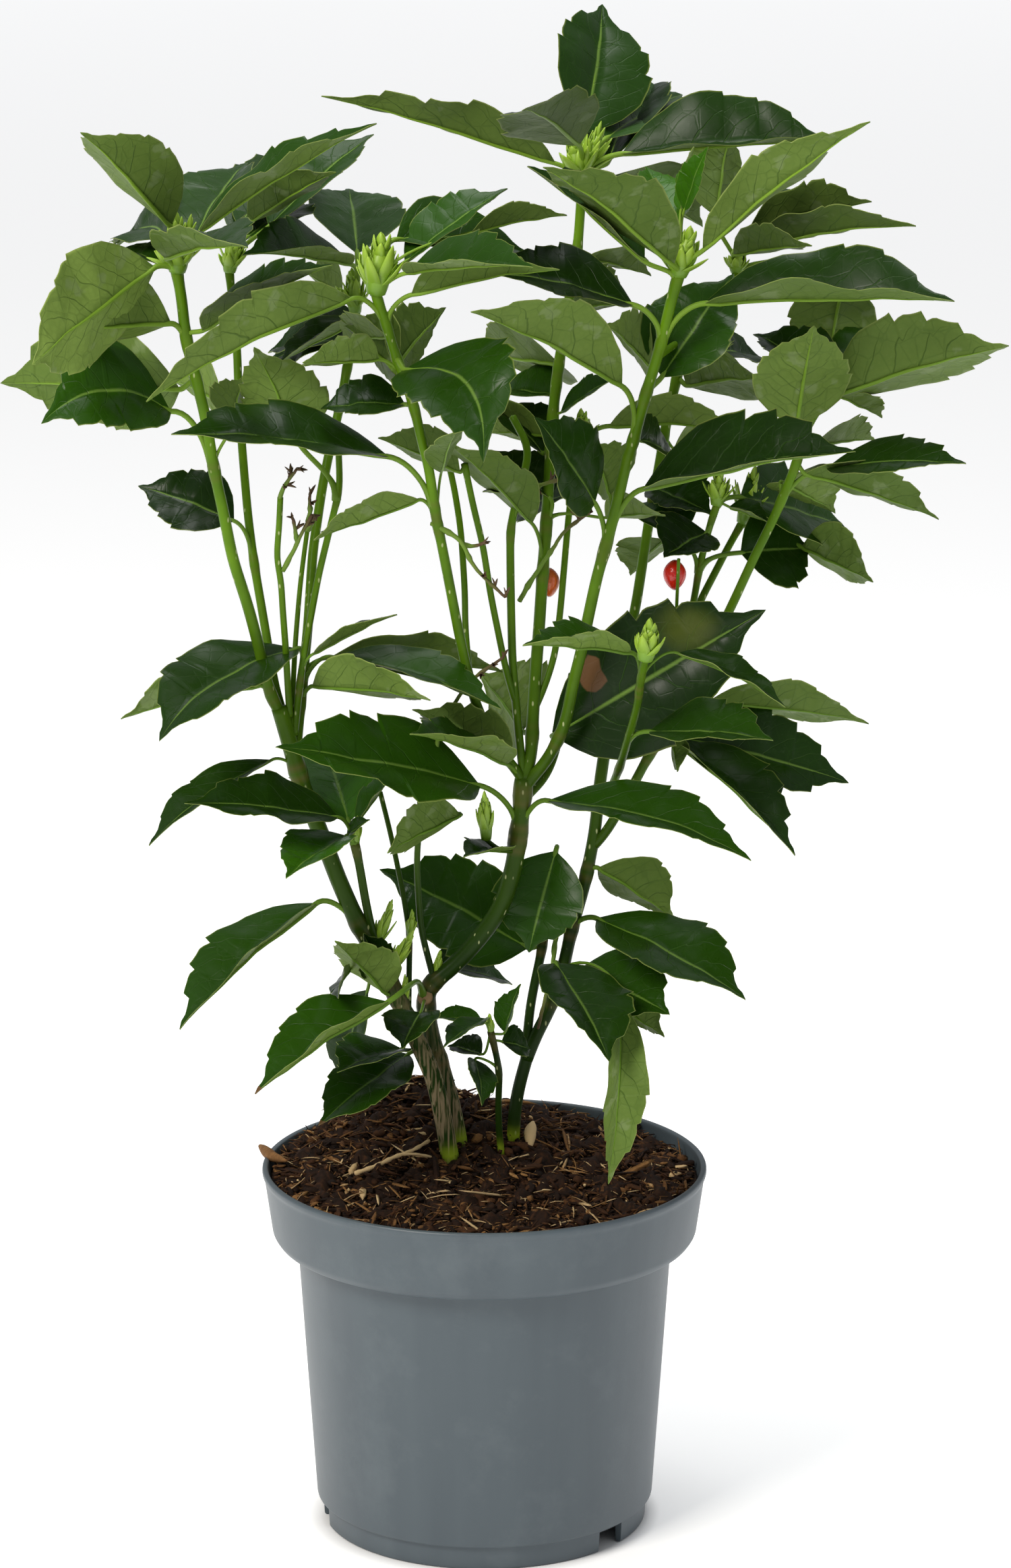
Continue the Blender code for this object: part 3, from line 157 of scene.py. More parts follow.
def show(name, data):
    """A new object in the scene that shows a mesh, a lamp or a camera."""
    shown = bpy.data.objects.new(name, data)
    bpy.context.scene.collection.objects.link(shown)
    return shown


def make_piece(name, points, faces, materials, fields=None, slots=None):
    """A smooth-shaded piece from points in millimetres and lists of equal-sided faces.

    fields maps an attribute's name to one number for each point, and slots gives the number of
    each face's material.
    """
    mesh = bpy.data.meshes.new(name)
    corners = np.concatenate([np.asarray(group).ravel() for group in faces])
    sizes = np.concatenate([np.full(len(group), np.shape(group)[1]) for group in faces])
    mesh.vertices.add(len(points))
    mesh.vertices.foreach_set("co", (np.asarray(points) * MM).ravel())
    mesh.loops.add(len(corners))
    mesh.loops.foreach_set("vertex_index", corners)
    mesh.polygons.add(len(sizes))
    mesh.polygons.foreach_set("loop_start", np.cumsum(sizes) - sizes)
    mesh.polygons.foreach_set("use_smooth", np.ones(len(sizes), bool))
    for material in materials:
        mesh.materials.append(material)
    if slots is not None:
        mesh.polygons.foreach_set("material_index", slots)
    for field_name, values in (fields or {}).items():
        attribute = mesh.attributes.new(field_name, "FLOAT", "POINT")
        attribute.data.foreach_set("value", np.ravel(values))
    mesh.update(calc_edges=True)
    piece = show(name, mesh)
    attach(piece, "root")
    return piece


def grid_faces(rows, columns, closed):
    """Quads of a grid of points, row after row; closed joins its last column to its first."""
    row, column = np.meshgrid(np.arange(rows - 1), np.arange(columns if closed else columns - 1),
                              indexing="ij")
    after = (column + 1) % columns
    quads = np.stack([row * columns + column, row * columns + after,
                      (row + 1) * columns + after, (row + 1) * columns + column], -1)
    return quads.reshape(-1, 4)


def capped_faces(rows, columns):
    """Faces of closed rings, with a fan at each end to one of the two points after the rings."""
    ring, first = np.arange(columns), rows * columns
    onward, last_ring = np.roll(ring, -1), first - columns
    low = np.stack([np.full(columns, first), onward, ring], 1)
    high = np.stack([np.full(columns, first + 1), ring + last_ring, onward + last_ring], 1)
    return [grid_faces(rows, columns, True), low, high]


def rounded(corners, radius, steps=4):
    """A profile whose corners are turned to curves.

    Each corner C between neighbours A and B becomes (1 - t)^2 P + 2t(1 - t) C + t^2 Q, where P and
    Q lie on its two sides at the radius or at 0.45 of the side, whichever is less.
    """
    corners = np.array(corners, float)
    shares = np.linspace(0, 1, steps)[:, None]
    profile = [corners[:1]]
    for before, corner, after in zip(corners[:-2], corners[1:-1], corners[2:]):
        back, ahead = before - corner, after - corner
        start = corner + back * min(0.45, radius / np.linalg.norm(back))
        end = corner + ahead * min(0.45, radius / np.linalg.norm(ahead))
        profile.append((1 - shares) ** 2 * start + 2 * shares * (1 - shares) * corner
                       + shares ** 2 * end)
    return np.concatenate(profile + [corners[-1:]])


def azimuth_columns():
    """Even azimuths round the pot, with a close pair of columns at each side of each notch."""
    sides = [at + side * NOTCH_SPREAD / 2 + step
             for at in NOTCH_AZIMUTHS for side in (-1, 1) for step in (-NOTCH_EDGE, NOTCH_EDGE)]
    even = np.linspace(0, 360, POT_COLUMNS, endpoint=False)
    return np.unique(np.concatenate([even, np.mod(sides, 360)]))


def build_pot():
    """The pot's profile turned round Z, its foot ring raised in the notches.

    A profile point (r, z) goes to x = r sin(azimuth), y = -r cos(azimuth).
    """
    floor = FOOT_HEIGHT + WALL
    profile = rounded([
        (HUB_RADIUS, 0), (HUB_RADIUS + 0.6, FOOT_HEIGHT), (FOOT_RADIUS - 2.8, FOOT_HEIGHT),
        (FOOT_RADIUS - 2.4, 0), (FOOT_RADIUS, 0), (FOOT_RADIUS + 0.6, FOOT_HEIGHT),
        (WALL_FOOT_RADIUS, FOOT_HEIGHT + 0.4), (WALL_TOP_RADIUS, BAND_BOTTOM - 4.4),
        (BAND_FOOT_RADIUS - 2.0, BAND_BOTTOM - 2.2), (BAND_FOOT_RADIUS, BAND_BOTTOM + 0.8),
        (RIM_RADIUS - 1.0, POT_HEIGHT - 4.0), (RIM_RADIUS, POT_HEIGHT - 2.2),
        (RIM_RADIUS - 0.3, POT_HEIGHT), (RIM_RADIUS - 2.4, POT_HEIGHT),
        (RIM_RADIUS - 2.9, POT_HEIGHT - 1.2), (BAND_FOOT_RADIUS - WALL, BAND_BOTTOM + 1.8),
        (BAND_FOOT_RADIUS - WALL - 1.6, BAND_BOTTOM), (WALL_TOP_RADIUS - WALL, BAND_BOTTOM - 2.4),
        (WALL_FOOT_RADIUS - WALL, floor), (HUB_RADIUS, floor)], CORNER_RADIUS)
    azimuths = azimuth_columns()
    radius, height = profile[:, :1], np.repeat(profile[:, 1:], len(azimuths), 1)
    notched = np.zeros(len(azimuths), bool)
    for at in NOTCH_AZIMUTHS:
        notched |= np.abs((azimuths - at + 180) % 360 - 180) < NOTCH_SPREAD / 2
    foot_ring = (radius > FOOT_RADIUS - FOOT_RING_WIDTH) & (height < NOTCH_HEIGHT)
    height = np.where(foot_ring & notched, NOTCH_HEIGHT + NOTCH_SPARE * height, height)
    angle = np.radians(azimuths)
    grid = np.stack([radius * np.sin(angle), -radius * np.cos(angle), height], -1)
    points = np.concatenate([grid.reshape(-1, 3), [[0, 0, 0], [0, 0, floor]]])
    return make_piece("nursery_pot", points, capped_faces(*height.shape),
                      [moulded_polypropylene()])


def drill_drains(pot):
    """Cuts the round drain holes through the floor with a ring of closed drills."""
    turn = (np.arange(DRAIN_SIDES) + 0.5) * 2 * math.pi / DRAIN_SIDES
    loops, faces = [], []
    for number in range(DRAIN_COUNT):
        angle = 2 * math.pi * (number + 0.5) / DRAIN_COUNT
        for height in (FOOT_HEIGHT - DRILL_MARGIN, FOOT_HEIGHT + WALL + DRILL_MARGIN):
            loops.append(np.stack([DRAIN_CIRCLE * math.cos(angle) + DRAIN_RADIUS * np.cos(turn),
                                   DRAIN_CIRCLE * math.sin(angle) + DRAIN_RADIUS * np.sin(turn),
                                   np.full(DRAIN_SIDES, height)], 1))
        low = range(number * 2 * DRAIN_SIDES, (number * 2 + 1) * DRAIN_SIDES)
        faces += (grid_faces(2, DRAIN_SIDES, True) + low[0]).tolist()
        faces += [list(low)[::-1], [corner + DRAIN_SIDES for corner in low]]
    mesh = bpy.data.meshes.new("drills")
    mesh.from_pydata((np.concatenate(loops) * MM).tolist(), [], faces)
    drills = show("drills", mesh)
    cut = pot.modifiers.new("drains", "BOOLEAN")
    cut.object = drills
    cut.solver = "EXACT"
    bpy.context.view_layer.update()
    evaluated = pot.evaluated_get(bpy.context.evaluated_depsgraph_get())
    done = bpy.data.meshes.new_from_object(evaluated)
    pot.modifiers.clear()
    pot.data = done
    bpy.data.objects.remove(drills)
    pot.data.set_sharp_from_angle(angle=math.radians(POT_SHARP_EDGE))


def moulded_polypropylene():
    """Blue-grey polypropylene from a polished mould: satin, with faint flow marks and dust."""
    material, tree, shader = start_material("moulded_polypropylene")
    place = coordinates(tree)
    flow = noise(tree, place, 1.0, 3.0, stretch=(60.0, 60.0, 6.0))
    dust = noise(tree, place, 28.0, 6.0, 0.7)
    grain = noise(tree, place, 1400.0, 2.0)
    dusty = ramp(tree, dust, 0.52, 0.75, 0.0, 0.22)
    set_inputs(tree, shader, {
        "Base Color": layered(tree, "#434D54", (("#525D63", flow, 1.0), ("#727B7F", dusty, 1.0))),
        "Roughness": ramp(tree, dust, 0.0, 1.0, 0.34, 0.52),
        "Normal": bump(tree, grain, 0.12, 0.0002)})
    return material


pot = build_pot()
drill_drains(pot)
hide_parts("pot")


# The soil: damp brown peat with shredded bark and coconut fibre, filled to just under the lip
# and heaped behind the stems. The chips and fibres on top are loose pieces of bark, each split
# along its grain, and the root ball below is what the stems grow from.

SOIL_LEVEL = 151.0
SOIL_RADIUS = 91.0
SOIL_FIT = 0.5
SOIL_COLUMNS = 260
SOIL_RINGS = 82
# The rough top's waves: longest, shortest and how many
ROUGH_WAVES = (26.0, 2.2, 34)
# How far the rough top rises and falls, how far inside the wall it does so in full, and the
# share of it that is left at the wall
ROUGHNESS_RISE = 1.1
ROUGHNESS_RUN = 8.0
ROUGHNESS_AT_WALL = 0.15
# The peat's shade: its range, and the value at its two centres
PEAT_SHADES = (0.0, 0.22)
CENTRE_SHADE = 0.1
# Each mound of soil: centre x, centre y, height, spread
MOUNDS = ((-18.0, 30.0, 20.0, 38.0), (-32.0, 60.0, 11.0, 15.0))
# The strewn pieces: the share of the bed that they cover, how their sizes fall between least and
# greatest, how much each side and each bend varies, and how steeply they lie about Y and about X
COVERED_SHARE = 0.97
SIZE_POWER = 0.45
SIDE_VARIETY = (0.6, 1.25)
BEND_VARIETY = (-0.4, 1)
TILTS = (0.28, 0.5)
WALL_MARGIN = 0.3
soil_dice = np.random.default_rng(11)


def waves(x, y, longest, shortest, count, dice):
    """Rough ground: plane waves in random directions, each as high as it is long over longest."""
    total = np.zeros_like(x)
    for length in np.geomspace(longest, shortest, count):
        heading, start = dice.uniform(0, 2 * math.pi, 2)
        phase = (x * math.cos(heading) + y * math.sin(heading)) * 2 * math.pi / length
        total += np.sin(phase + start) * length / longest
    return total


def soil_height(x, y):
    """A level bed and its mounds: level + the sum of rise exp(-d^2 / (2 spread^2))."""
    height = np.full_like(x, SOIL_LEVEL, dtype=float)
    for centre_x, centre_y, rise, spread in MOUNDS:
        height += rise * np.exp(-((x - centre_x) ** 2 + (y - centre_y) ** 2) / (2 * spread ** 2))
    return height


def build_soil():
    """Rings of the root ball's profile, then rings of the rough top in to its centre."""
    turn = np.linspace(0, 2 * math.pi, SOIL_COLUMNS, endpoint=False)
    floor = FOOT_HEIGHT + WALL + SOIL_FIT
    wall = np.array([(2.0, floor), (WALL_FOOT_RADIUS - WALL - SOIL_FIT, floor),
                     (WALL_TOP_RADIUS - WALL - SOIL_FIT, BAND_BOTTOM - 3.0),
                     (BAND_FOOT_RADIUS - WALL - 2.4, BAND_BOTTOM + 2.4)])
    top_radii = np.linspace(SOIL_RADIUS, 3.0, SOIL_RINGS)
    radius = np.concatenate([wall[:, 0], top_radii])[:, None]
    x, y = radius * np.cos(turn), radius * np.sin(turn)
    rough = waves(x, y, *ROUGH_WAVES, np.random.default_rng(5))
    inward = np.clip((SOIL_RADIUS - radius) / ROUGHNESS_RUN, ROUGHNESS_AT_WALL, 1)
    height = soil_height(x, y) + ROUGHNESS_RISE * rough * inward
    height[:len(wall)] = wall[:, 1:]
    points = np.concatenate([np.stack([x, y, height], -1).reshape(-1, 3),
                             [[0, 0, floor], [0, 0, height[-1].mean()]]])
    shade = np.append(soil_dice.uniform(*PEAT_SHADES, height.size), [CENTRE_SHADE] * 2)
    return make_piece("potting_soil", points, capped_faces(*height.shape), [peat],
                      {"shade": shade})


def turning(yaw, pitch, roll):
    """Rotation matrices Rz(yaw) Ry(pitch) Rx(roll), one for each piece."""
    zero, one = np.zeros_like(yaw), np.ones_like(yaw)
    (sin_z, cos_z), (sin_y, cos_y), (sin_x, cos_x) = [(np.sin(angle), np.cos(angle))
                                                      for angle in (yaw, pitch, roll)]
    about_z = np.array([[cos_z, -sin_z, zero], [sin_z, cos_z, zero], [zero, zero, one]])
    about_y = np.array([[cos_y, zero, sin_y], [zero, one, zero], [-sin_y, zero, cos_y]])
    about_x = np.array([[one, zero, zero], [zero, cos_x, -sin_x], [zero, sin_x, cos_x]])
    return np.einsum("ijn,jkn,kln->nil", about_z, about_y, about_x)


def strewn(template, faces, count, size_low, size_high, bend, lift, tones, dice):
    """Copies of a template strewn over the soil, each with its own size, turn, bend and shade.

    A point p of the template goes to place + R (p size + bend (1 - p_x^2) z).
    """
    far = SOIL_RADIUS * np.sqrt(dice.uniform(0, COVERED_SHARE, count))
    heading = dice.uniform(0, 2 * math.pi, count)
    place = np.stack([far * np.cos(heading), far * np.sin(heading)], 1)
    level = soil_height(place[:, 0], place[:, 1]) + dice.uniform(*lift, count)
    place = np.column_stack([place, level])
    size = (np.array(size_low)
            + (np.array(size_high) - size_low) * dice.power(SIZE_POWER, (count, 1)))
    size = size * dice.uniform(*SIDE_VARIETY, (count, 3))
    shape = template[None] * size[:, None]
    rise = bend * dice.uniform(*BEND_VARIETY, count) * size[:, 0]
    shape[..., 2] += rise[:, None] * (1 - template[:, 0] ** 2)
    turns = turning(dice.uniform(0, 2 * math.pi, count),
                    *[dice.normal(0, tilt, count) for tilt in TILTS])
    points = np.einsum("nij,nkj->nki", turns, shape) + place[:, None]
    number = np.arange(count)[:, None, None] * len(template)
    shade = np.repeat(dice.beta(*tones, count), len(template))
    copied = [(np.array(group)[None] + number).reshape(-1, len(group[0])) for group in faces]
    return points.reshape(-1, 3), copied, shade


def sliver(sections):
    """A long piece of three-sided sections along X from -1 to 1, closed by pointed ends."""
    places, widths = np.array(sections).T
    turn = np.array([0.5, 2.6, 4.7])
    body = np.stack([np.repeat(places, 3), np.outer(widths, np.cos(turn)).ravel(),
                     np.outer(widths, np.sin(turn)).ravel()], 1)
    points = np.concatenate([body, [[-1.0, 0, 0], [1.0, 0, 0]]])
    sides, *ends = capped_faces(len(places), 3)
    return points, [sides, np.concatenate(ends)]


def flake():
    """A flat chip: an uneven six-sided outline with a worn upper edge."""
    turn = np.arange(6) * math.pi / 3
    out = np.array([1.0, 0.75, 0.95, 1.0, 0.8, 0.7])
    low = np.stack([out * np.cos(turn), out * np.sin(turn), np.full(6, -0.5)], 1)
    high = low * (0.82, 0.8, 0) + (0.04, -0.03, 0.5)
    under, upper = np.arange(5, -1, -1)[None], np.arange(6, 12)[None]
    return np.concatenate([low, high]), [grid_faces(2, 6, True), np.concatenate([under, upper])]


def build_mulch():
    """Crumbs, fibres, chips and long shreds as one loose layer on the soil."""
    fibre, chip = sliver(((-0.7, 0.8), (-0.1, 1.0), (0.6, 0.75))), flake()
    # Each kind: its template, how many, least and greatest size, bend, lift and spread of shades
    kinds = (
        (chip, 3500, (0.8, 0.7, 0.6), (3.4, 2.7, 2.4), 0.0, (-0.8, 1.9), (1.0, 5.0)),
        (fibre, 2700, (1.2, 0.16, 0.12), (8.5, 0.55, 0.35), 0.16, (0.3, 2.8), (1.5, 2.2)),
        (chip, 1000, (1.2, 0.6, 0.3), (7.4, 2.6, 1.0), 0.06, (0.6, 2.8), (1.1, 2.9)),
        (fibre, 60, (7.0, 0.7, 0.4), (17.0, 1.5, 0.8), 0.10, (1.8, 3.4), (2.0, 2.0)))
    points, faces, shades, used = [], [], [], 0
    for template, *facts in kinds:
        spots, made, shade = strewn(*template, *facts, soil_dice)
        inside = np.hypot(spots[:, 0], spots[:, 1])
        spots[:, :2] *= np.minimum(1, (SOIL_RADIUS - WALL_MARGIN) / inside)[:, None]
        points.append(spots)
        faces += [group + used for group in made]
        shades.append(shade)
        used += len(spots)
    return make_piece("bark_and_fibre", np.concatenate(points), faces, [peat],
                      {"shade": np.concatenate(shades)})


def shredded_bark():
    """Peat and shredded bark: dull, dark when damp, with the pale wood showing on fresh splits."""
    material, tree, shader = start_material("shredded_bark")
    crumb = noise(tree, coordinates(tree), 420.0, 5.0, 0.7)
    mixed = maths(tree, "MULTIPLY", crumb, 0.45)
    value = maths(tree, "ADD", field(tree, "shade"), mixed)
    colour = add_node(tree, "ShaderNodeValToRGB", {"Fac": value})
    stops = ((0.14, "#0B0603"), (0.36, "#26150A"), (0.58, "#4C2F18"), (0.85, "#8E673C"),
             (1.0, "#CFB284"))
    elements = colour.node.color_ramp.elements
    while len(elements) < len(stops):
        elements.new(0.5)
    for element, (at, shade) in zip(elements, stops):
        element.position = at
        element.color = linear(shade)
    set_inputs(tree, shader, {"Base Color": colour, "Normal": bump(tree, crumb, 0.7, 0.0005),
                              "Roughness": 0.82, "Specular IOR Level": 0.2})
    return material


peat = shredded_bark()
soil = build_soil()
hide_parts("soil")
mulch = build_mulch()


# The stems: four plants in the pot, each a green-barked stem that forks again and again. The
# bark is smooth, with pale lenticels and a brown ring where each old leaf pair fell, and on the
# oldest trunk it has split into grey-brown stripes. Each stem is joined to the one it grew from.

# Where the plant was seen from: a sight line through a photo pixel, cut at a chosen depth y,
# places each stem, blade base and leaf tip
PHOTO_CENTRE = (750.0, 1163.0)
FOCAL_PIXELS = 9103.0
EYE = np.array([9.0, -2500.0, 963.3])
LOOK_DOWN = 0.25
FORWARD = np.array([0.0, math.cos(LOOK_DOWN), -math.sin(LOOK_DOWN)])
UPWARD = np.array([0.0, math.sin(LOOK_DOWN), math.cos(LOOK_DOWN)])
SIDEWAYS = np.array([1.0, 0.0, 0.0])
DEPTHWARD = np.array([0.0, 1.0, 0.0])
# The photo doesn't show depth: the depths in the tables are first guesses, opened out by this
DEPTH_SPREAD = 1.35

STEM_DEPTH_IN_SOIL = 24.0
STEM_COLUMNS = 14
STEM_RING_SPACING = 2.6
STEM_SOFTNESS = 5.0
# The round bark is a little slimmer than the CAD's few-sided stem
BARK_SHARE = 0.9
# How much a joint is swollen, and over how many millimetres
JOINT_SWELLING = 0.16
JOINT_REACH = 3.4
# How far above a joint its scar lies, and how high the ring is
SCAR_RISE = 2.6
SCAR_REACH = 0.9
# Scars show in full where the joint lies this run below this height, and faintly above
SCARS_BELOW = 560
SCAR_RUN = 200
FAINT_SCAR = 0.15
# Up to which height the old trunks' bark has split, and over what run the splits end
BARKY_TRUNKS = {"mid_trunk": 205.0, "left_trunk": 225.0}
BARKY_RUN = 50
# Bark is old below this height, and fully so this run below it
OLD_BARK_BELOW = 440
OLD_BARK_RUN = 190
# The fresh band of bark where a stem leaves the soil: how far above it, and how high
FRESH_RISE = 2
FRESH_REACH = 3.5
# How far a tube's end points stand out, as a share of its radius
CAP_RISE = 0.4


@dataclass
class Stem:
    """A stem: foot and top diameters, foot and top depths, and its route in photo pixels."""

    plant: str
    grows_on: str
    foot: float
    top: float
    depth: float
    top_depth: float
    route: tuple


STEMS = {
    "left_trunk": Stem("left", "", 8.6, 8.0, -8, -15, ((668, 1718), (658, 1660), (645, 1600),
        (622, 1550), (590, 1480), (560, 1420), (532, 1372), (515, 1335), (500, 1300), (486, 1262),
        (466, 1212), (446, 1160), (433, 1112), (415, 1050))),
    "L1": Stem("left", "left_trunk", 5.4, 5.0, -15, -38, ((418, 1062), (400, 1030), (384, 959),
        (368, 899), (345, 829), (330, 752), (317, 695), (305, 618), (288, 552), (275, 500),
        (270, 445), (262, 400))),
    "L2": Stem("left", "left_trunk", 4.2, 3.8, -13, 28, ((424, 1072), (408, 1020), (398, 959),
        (389, 906), (377, 836), (368, 766), (360, 674), (354, 590), (352, 520), (343, 430),
        (340, 400))),
    "L3": Stem("left", "left_trunk", 3.2, 2.8, -12, -26, ((430, 1062), (426, 1000), (424, 962),
        (419, 899), (417, 853), (409, 832), (414, 787), (416, 738))),
    "L4": Stem("left", "left_trunk", 2.6, 2.2, -10, 4, ((432, 1075), (438, 955), (445, 871),
        (451, 822), (456, 787))),
    "L5": Stem("left", "left_trunk", 3.4, 3.0, -8, -14, ((437, 1090), (445, 1010), (453, 959),
        (473, 851), (492, 774), (499, 742), (505, 736), (502, 659))),
    "L6": Stem("left", "left_trunk", 4.8, 4.2, -10, 46, ((440, 1110), (450, 1000), (457, 930),
        (464, 819), (478, 723), (491, 659), (505, 600), (520, 520), (528, 460))),
    "L7": Stem("left", "left_trunk", 4.0, 4.0, -4, -16, ((590, 1476), (552, 1384), (541, 1330),
        (532, 1275), (526, 1250))),
    "L8": Stem("left", "left_trunk", 2.8, 2.4, -6, 6, ((606, 1500), (608, 1387), (599, 1330),
        (586, 1266), (577, 1226), (564, 1175))),
    "mid_trunk": Stem("middle", "", 8.6, 8.2, 3, 2, ((684, 1718), (675, 1660), (660, 1600),
        (641, 1545), (632, 1499), (630, 1470), (640, 1455), (659, 1445), (672, 1434), (698, 1407),
        (730, 1368), (749, 1334), (764, 1280), (768, 1245), (774, 1201), (777, 1155))),
    "S0": Stem("middle", "mid_trunk", 3.2, 2.8, 2, -6, ((645, 1458), (624, 1378), (620, 1314),
        (618, 1280), (621, 1233), (631, 1188), (640, 1156))),
    "S1": Stem("middle", "mid_trunk", 4.8, 4.4, 0, -42, ((776, 1158), (770, 1146), (739, 1112),
        (723, 1083), (704, 1041), (698, 1009), (691, 987), (679, 930), (665, 857), (655, 806),
        (647, 768), (636, 691), (623, 644), (617, 612), (600, 560), (588, 532), (574, 483),
        (560, 445), (556, 430))),
    "S1a": Stem("middle", "S1", 3.0, 3.0, -8, 12, ((698, 1015), (690, 930), (690, 880), (684, 787),
        (674, 723), (665, 685))),
    "S2": Stem("middle", "mid_trunk", 4.0, 3.6, 4, 10, ((777, 1158), (768, 1073), (760, 978),
        (758, 891), (757, 819), (757, 781), (767, 739), (779, 698), (787, 666), (760, 618))),
    "S2b": Stem("middle", "S2", 3.2, 3.0, 2, -8, ((764, 1040), (752, 1000), (744, 962), (728, 883),
        (716, 806), (703, 755), (689, 688))),
    "S3": Stem("middle", "mid_trunk", 6.0, 4.4, 6, 34, ((778, 1158), (789, 1120), (790, 1073),
        (795, 994), (800, 930), (805, 850), (810, 787), (815, 700), (821, 605), (829, 541),
        (845, 440), (856, 380), (860, 330), (864, 262))),
    "S4": Stem("middle", "mid_trunk", 5.6, 5.0, -3, -22, ((775, 1175), (785, 1156), (806, 1137),
        (828, 1099), (840, 1070), (851, 1009), (860, 978), (873, 914), (887, 850), (899, 810),
        (918, 737), (928, 689), (940, 654), (953, 603), (972, 539), (982, 507), (991, 466),
        (1000, 430), (1008, 405))),
    "S4b": Stem("middle", "S4", 3.4, 3.6, -18, 26, ((975, 530), (1010, 505), (1050, 470),
        (1080, 430), (1095, 402))),
    "S5": Stem("middle", "S3", 3.2, 3.0, 6, 26, ((790, 1060), (808, 1020), (824, 970), (832, 900),
        (843, 771), (852, 700), (860, 652))),
    "S6": Stem("middle", "mid_trunk", 3.8, 3.2, 2, 34, ((774, 1190), (795, 1170), (811, 1153),
        (824, 1120), (838, 1060), (848, 1000))),
    "S7": Stem("middle", "mid_trunk", 2.4, 2.2, 2, -10, ((768, 1262), (742, 1264), (720, 1244))),
    "R0": Stem("right", "", 6.4, 6.0, 12, 12, ((761, 1706), (763, 1649), (770, 1610),
        (783, 1565))),
    "Ra": Stem("right", "R0", 4.6, 4.2, 12, 26, ((778, 1580), (787, 1489), (797, 1441),
        (806, 1400), (812, 1340), (822, 1280))),
    "Rb0": Stem("right", "R0", 6.2, 5.8, 12, 22, ((781, 1572), (797, 1531), (815, 1500),
        (835, 1441), (848, 1378), (867, 1314), (883, 1233), (889, 1169), (897, 1115))),
    "Rc0": Stem("right", "Rb0", 4.8, 4.4, 18, 14, ((881, 1255), (896, 1240), (920, 1200),
        (946, 1153), (962, 1121), (990, 1085))),
    "Rb": Stem("right", "Rc0", 3.4, 3.2, 16, 20, ((970, 1112), (1000, 1020), (1030, 890),
        (1036, 849), (1052, 782), (1065, 745))),
    "Rc": Stem("right", "Rc0", 4.4, 4.2, 14, 8, ((985, 1090), (1040, 990), (1087, 896),
        (1119, 826), (1151, 763), (1160, 740), (1183, 686), (1192, 652))),
    "Rd": Stem("right", "Rb0", 5.0, 4.6, 22, 50, ((895, 1130), (915, 1040), (930, 960), (944, 896),
        (956, 817), (966, 753), (979, 686), (988, 629), (1004, 562), (1012, 520))),
    "Re": Stem("right", "Rc0", 3.8, 3.4, 16, 32, ((980, 1096), (1010, 980), (1036, 896),
        (1055, 861), (1081, 810), (1103, 772))),
    "Rg": Stem("right", "Rb0", 4.0, 3.6, 6, -46, ((888, 1205), (907, 1169), (920, 1137),
        (933, 1092), (946, 1048), (950, 1009), (958, 975))),
    "Rh": Stem("right", "Rb", 1.7, 1.6, 16, 8, ((1000, 1020), (1002, 950), (1004, 896),
        (1007, 829))),
    "shoot": Stem("shoot", "", 3.4, 3.0, 0, -8, ((746, 1722), (741, 1693), (739, 1633),
        (742, 1591), (736, 1563), (728, 1530))),}


def seen(pixel, depth):
    """Point on the sight line through a photo pixel, at the depth y."""
    across = (pixel[0] - PHOTO_CENTRE[0]) / FOCAL_PIXELS
    above = (PHOTO_CENTRE[1] - pixel[1]) / FOCAL_PIXELS
    ray = FORWARD + SIDEWAYS * across + UPWARD * above
    return EYE + ray * (depth - EYE[1]) / ray[1]


def stem_line(name):
    """Points and radii along a stem, its depth changing evenly from foot to top."""
    stem = STEMS[name]
    pixels = np.array(stem.route, float)
    run = np.concatenate([[0.0], np.cumsum(np.hypot(*np.diff(pixels, axis=0).T))])
    share = run / run[-1]
    depths = stem.depth + (stem.top_depth - stem.depth) * DEPTH_SPREAD * share
    if stem.grows_on:
        carried = stem_point(stem.grows_on, stem.route[0])[1]
        depths += (carried - stem.depth) * (1 - share) ** 2
    points = np.array([seen(pixel, depth) for pixel, depth in zip(pixels, depths)])
    return points, (stem.foot + (stem.top - stem.foot) * share) / 2


def stem_point(name, pixel):
    """The place on a stem's centre line that shows nearest to a photo pixel."""
    points, _ = stem_line(name)
    pixels = np.array(STEMS[name].route, float)
    start, step = pixels[:-1], np.diff(pixels, axis=0)
    share = np.clip(((pixel - start) * step).sum(1) / (step ** 2).sum(1), 0, 1)
    nearest = np.argmin(np.hypot(*(start + step * share[:, None] - pixel).T))
    return points[nearest] + (points[nearest + 1] - points[nearest]) * share[nearest]


def unit(vector):
    """The direction of a vector."""
    return vector / np.linalg.norm(vector)


def smooth_route(points, spacing, softness):
    """Points every spacing millimetres along a route, its kinks rounded by a Gaussian."""
    run = np.concatenate([[0.0], np.cumsum(np.linalg.norm(np.diff(points, axis=0), axis=1))])
    marks = np.linspace(0, run[-1], max(6, round(run[-1] / spacing) + 1))
    even = np.stack([np.interp(marks, run, points[:, k]) for k in range(3)], 1)
    reach = max(1, round(3 * softness / spacing))
    weights = np.exp(-(np.arange(-reach, reach + 1) * spacing) ** 2 / (2 * softness ** 2))
    before, after = np.repeat(even[:1], reach, 0), np.repeat(even[-1:], reach, 0)
    if len(even) > reach:
        before = 2 * even[0] - even[1:reach + 1][::-1]
        after = 2 * even[-1] - even[-reach - 1:-1][::-1]
    padded = np.concatenate([before, even, after])
    weights = weights / weights.sum()
    return np.stack([np.convolve(padded[:, k], weights, "valid") for k in range(3)], 1)


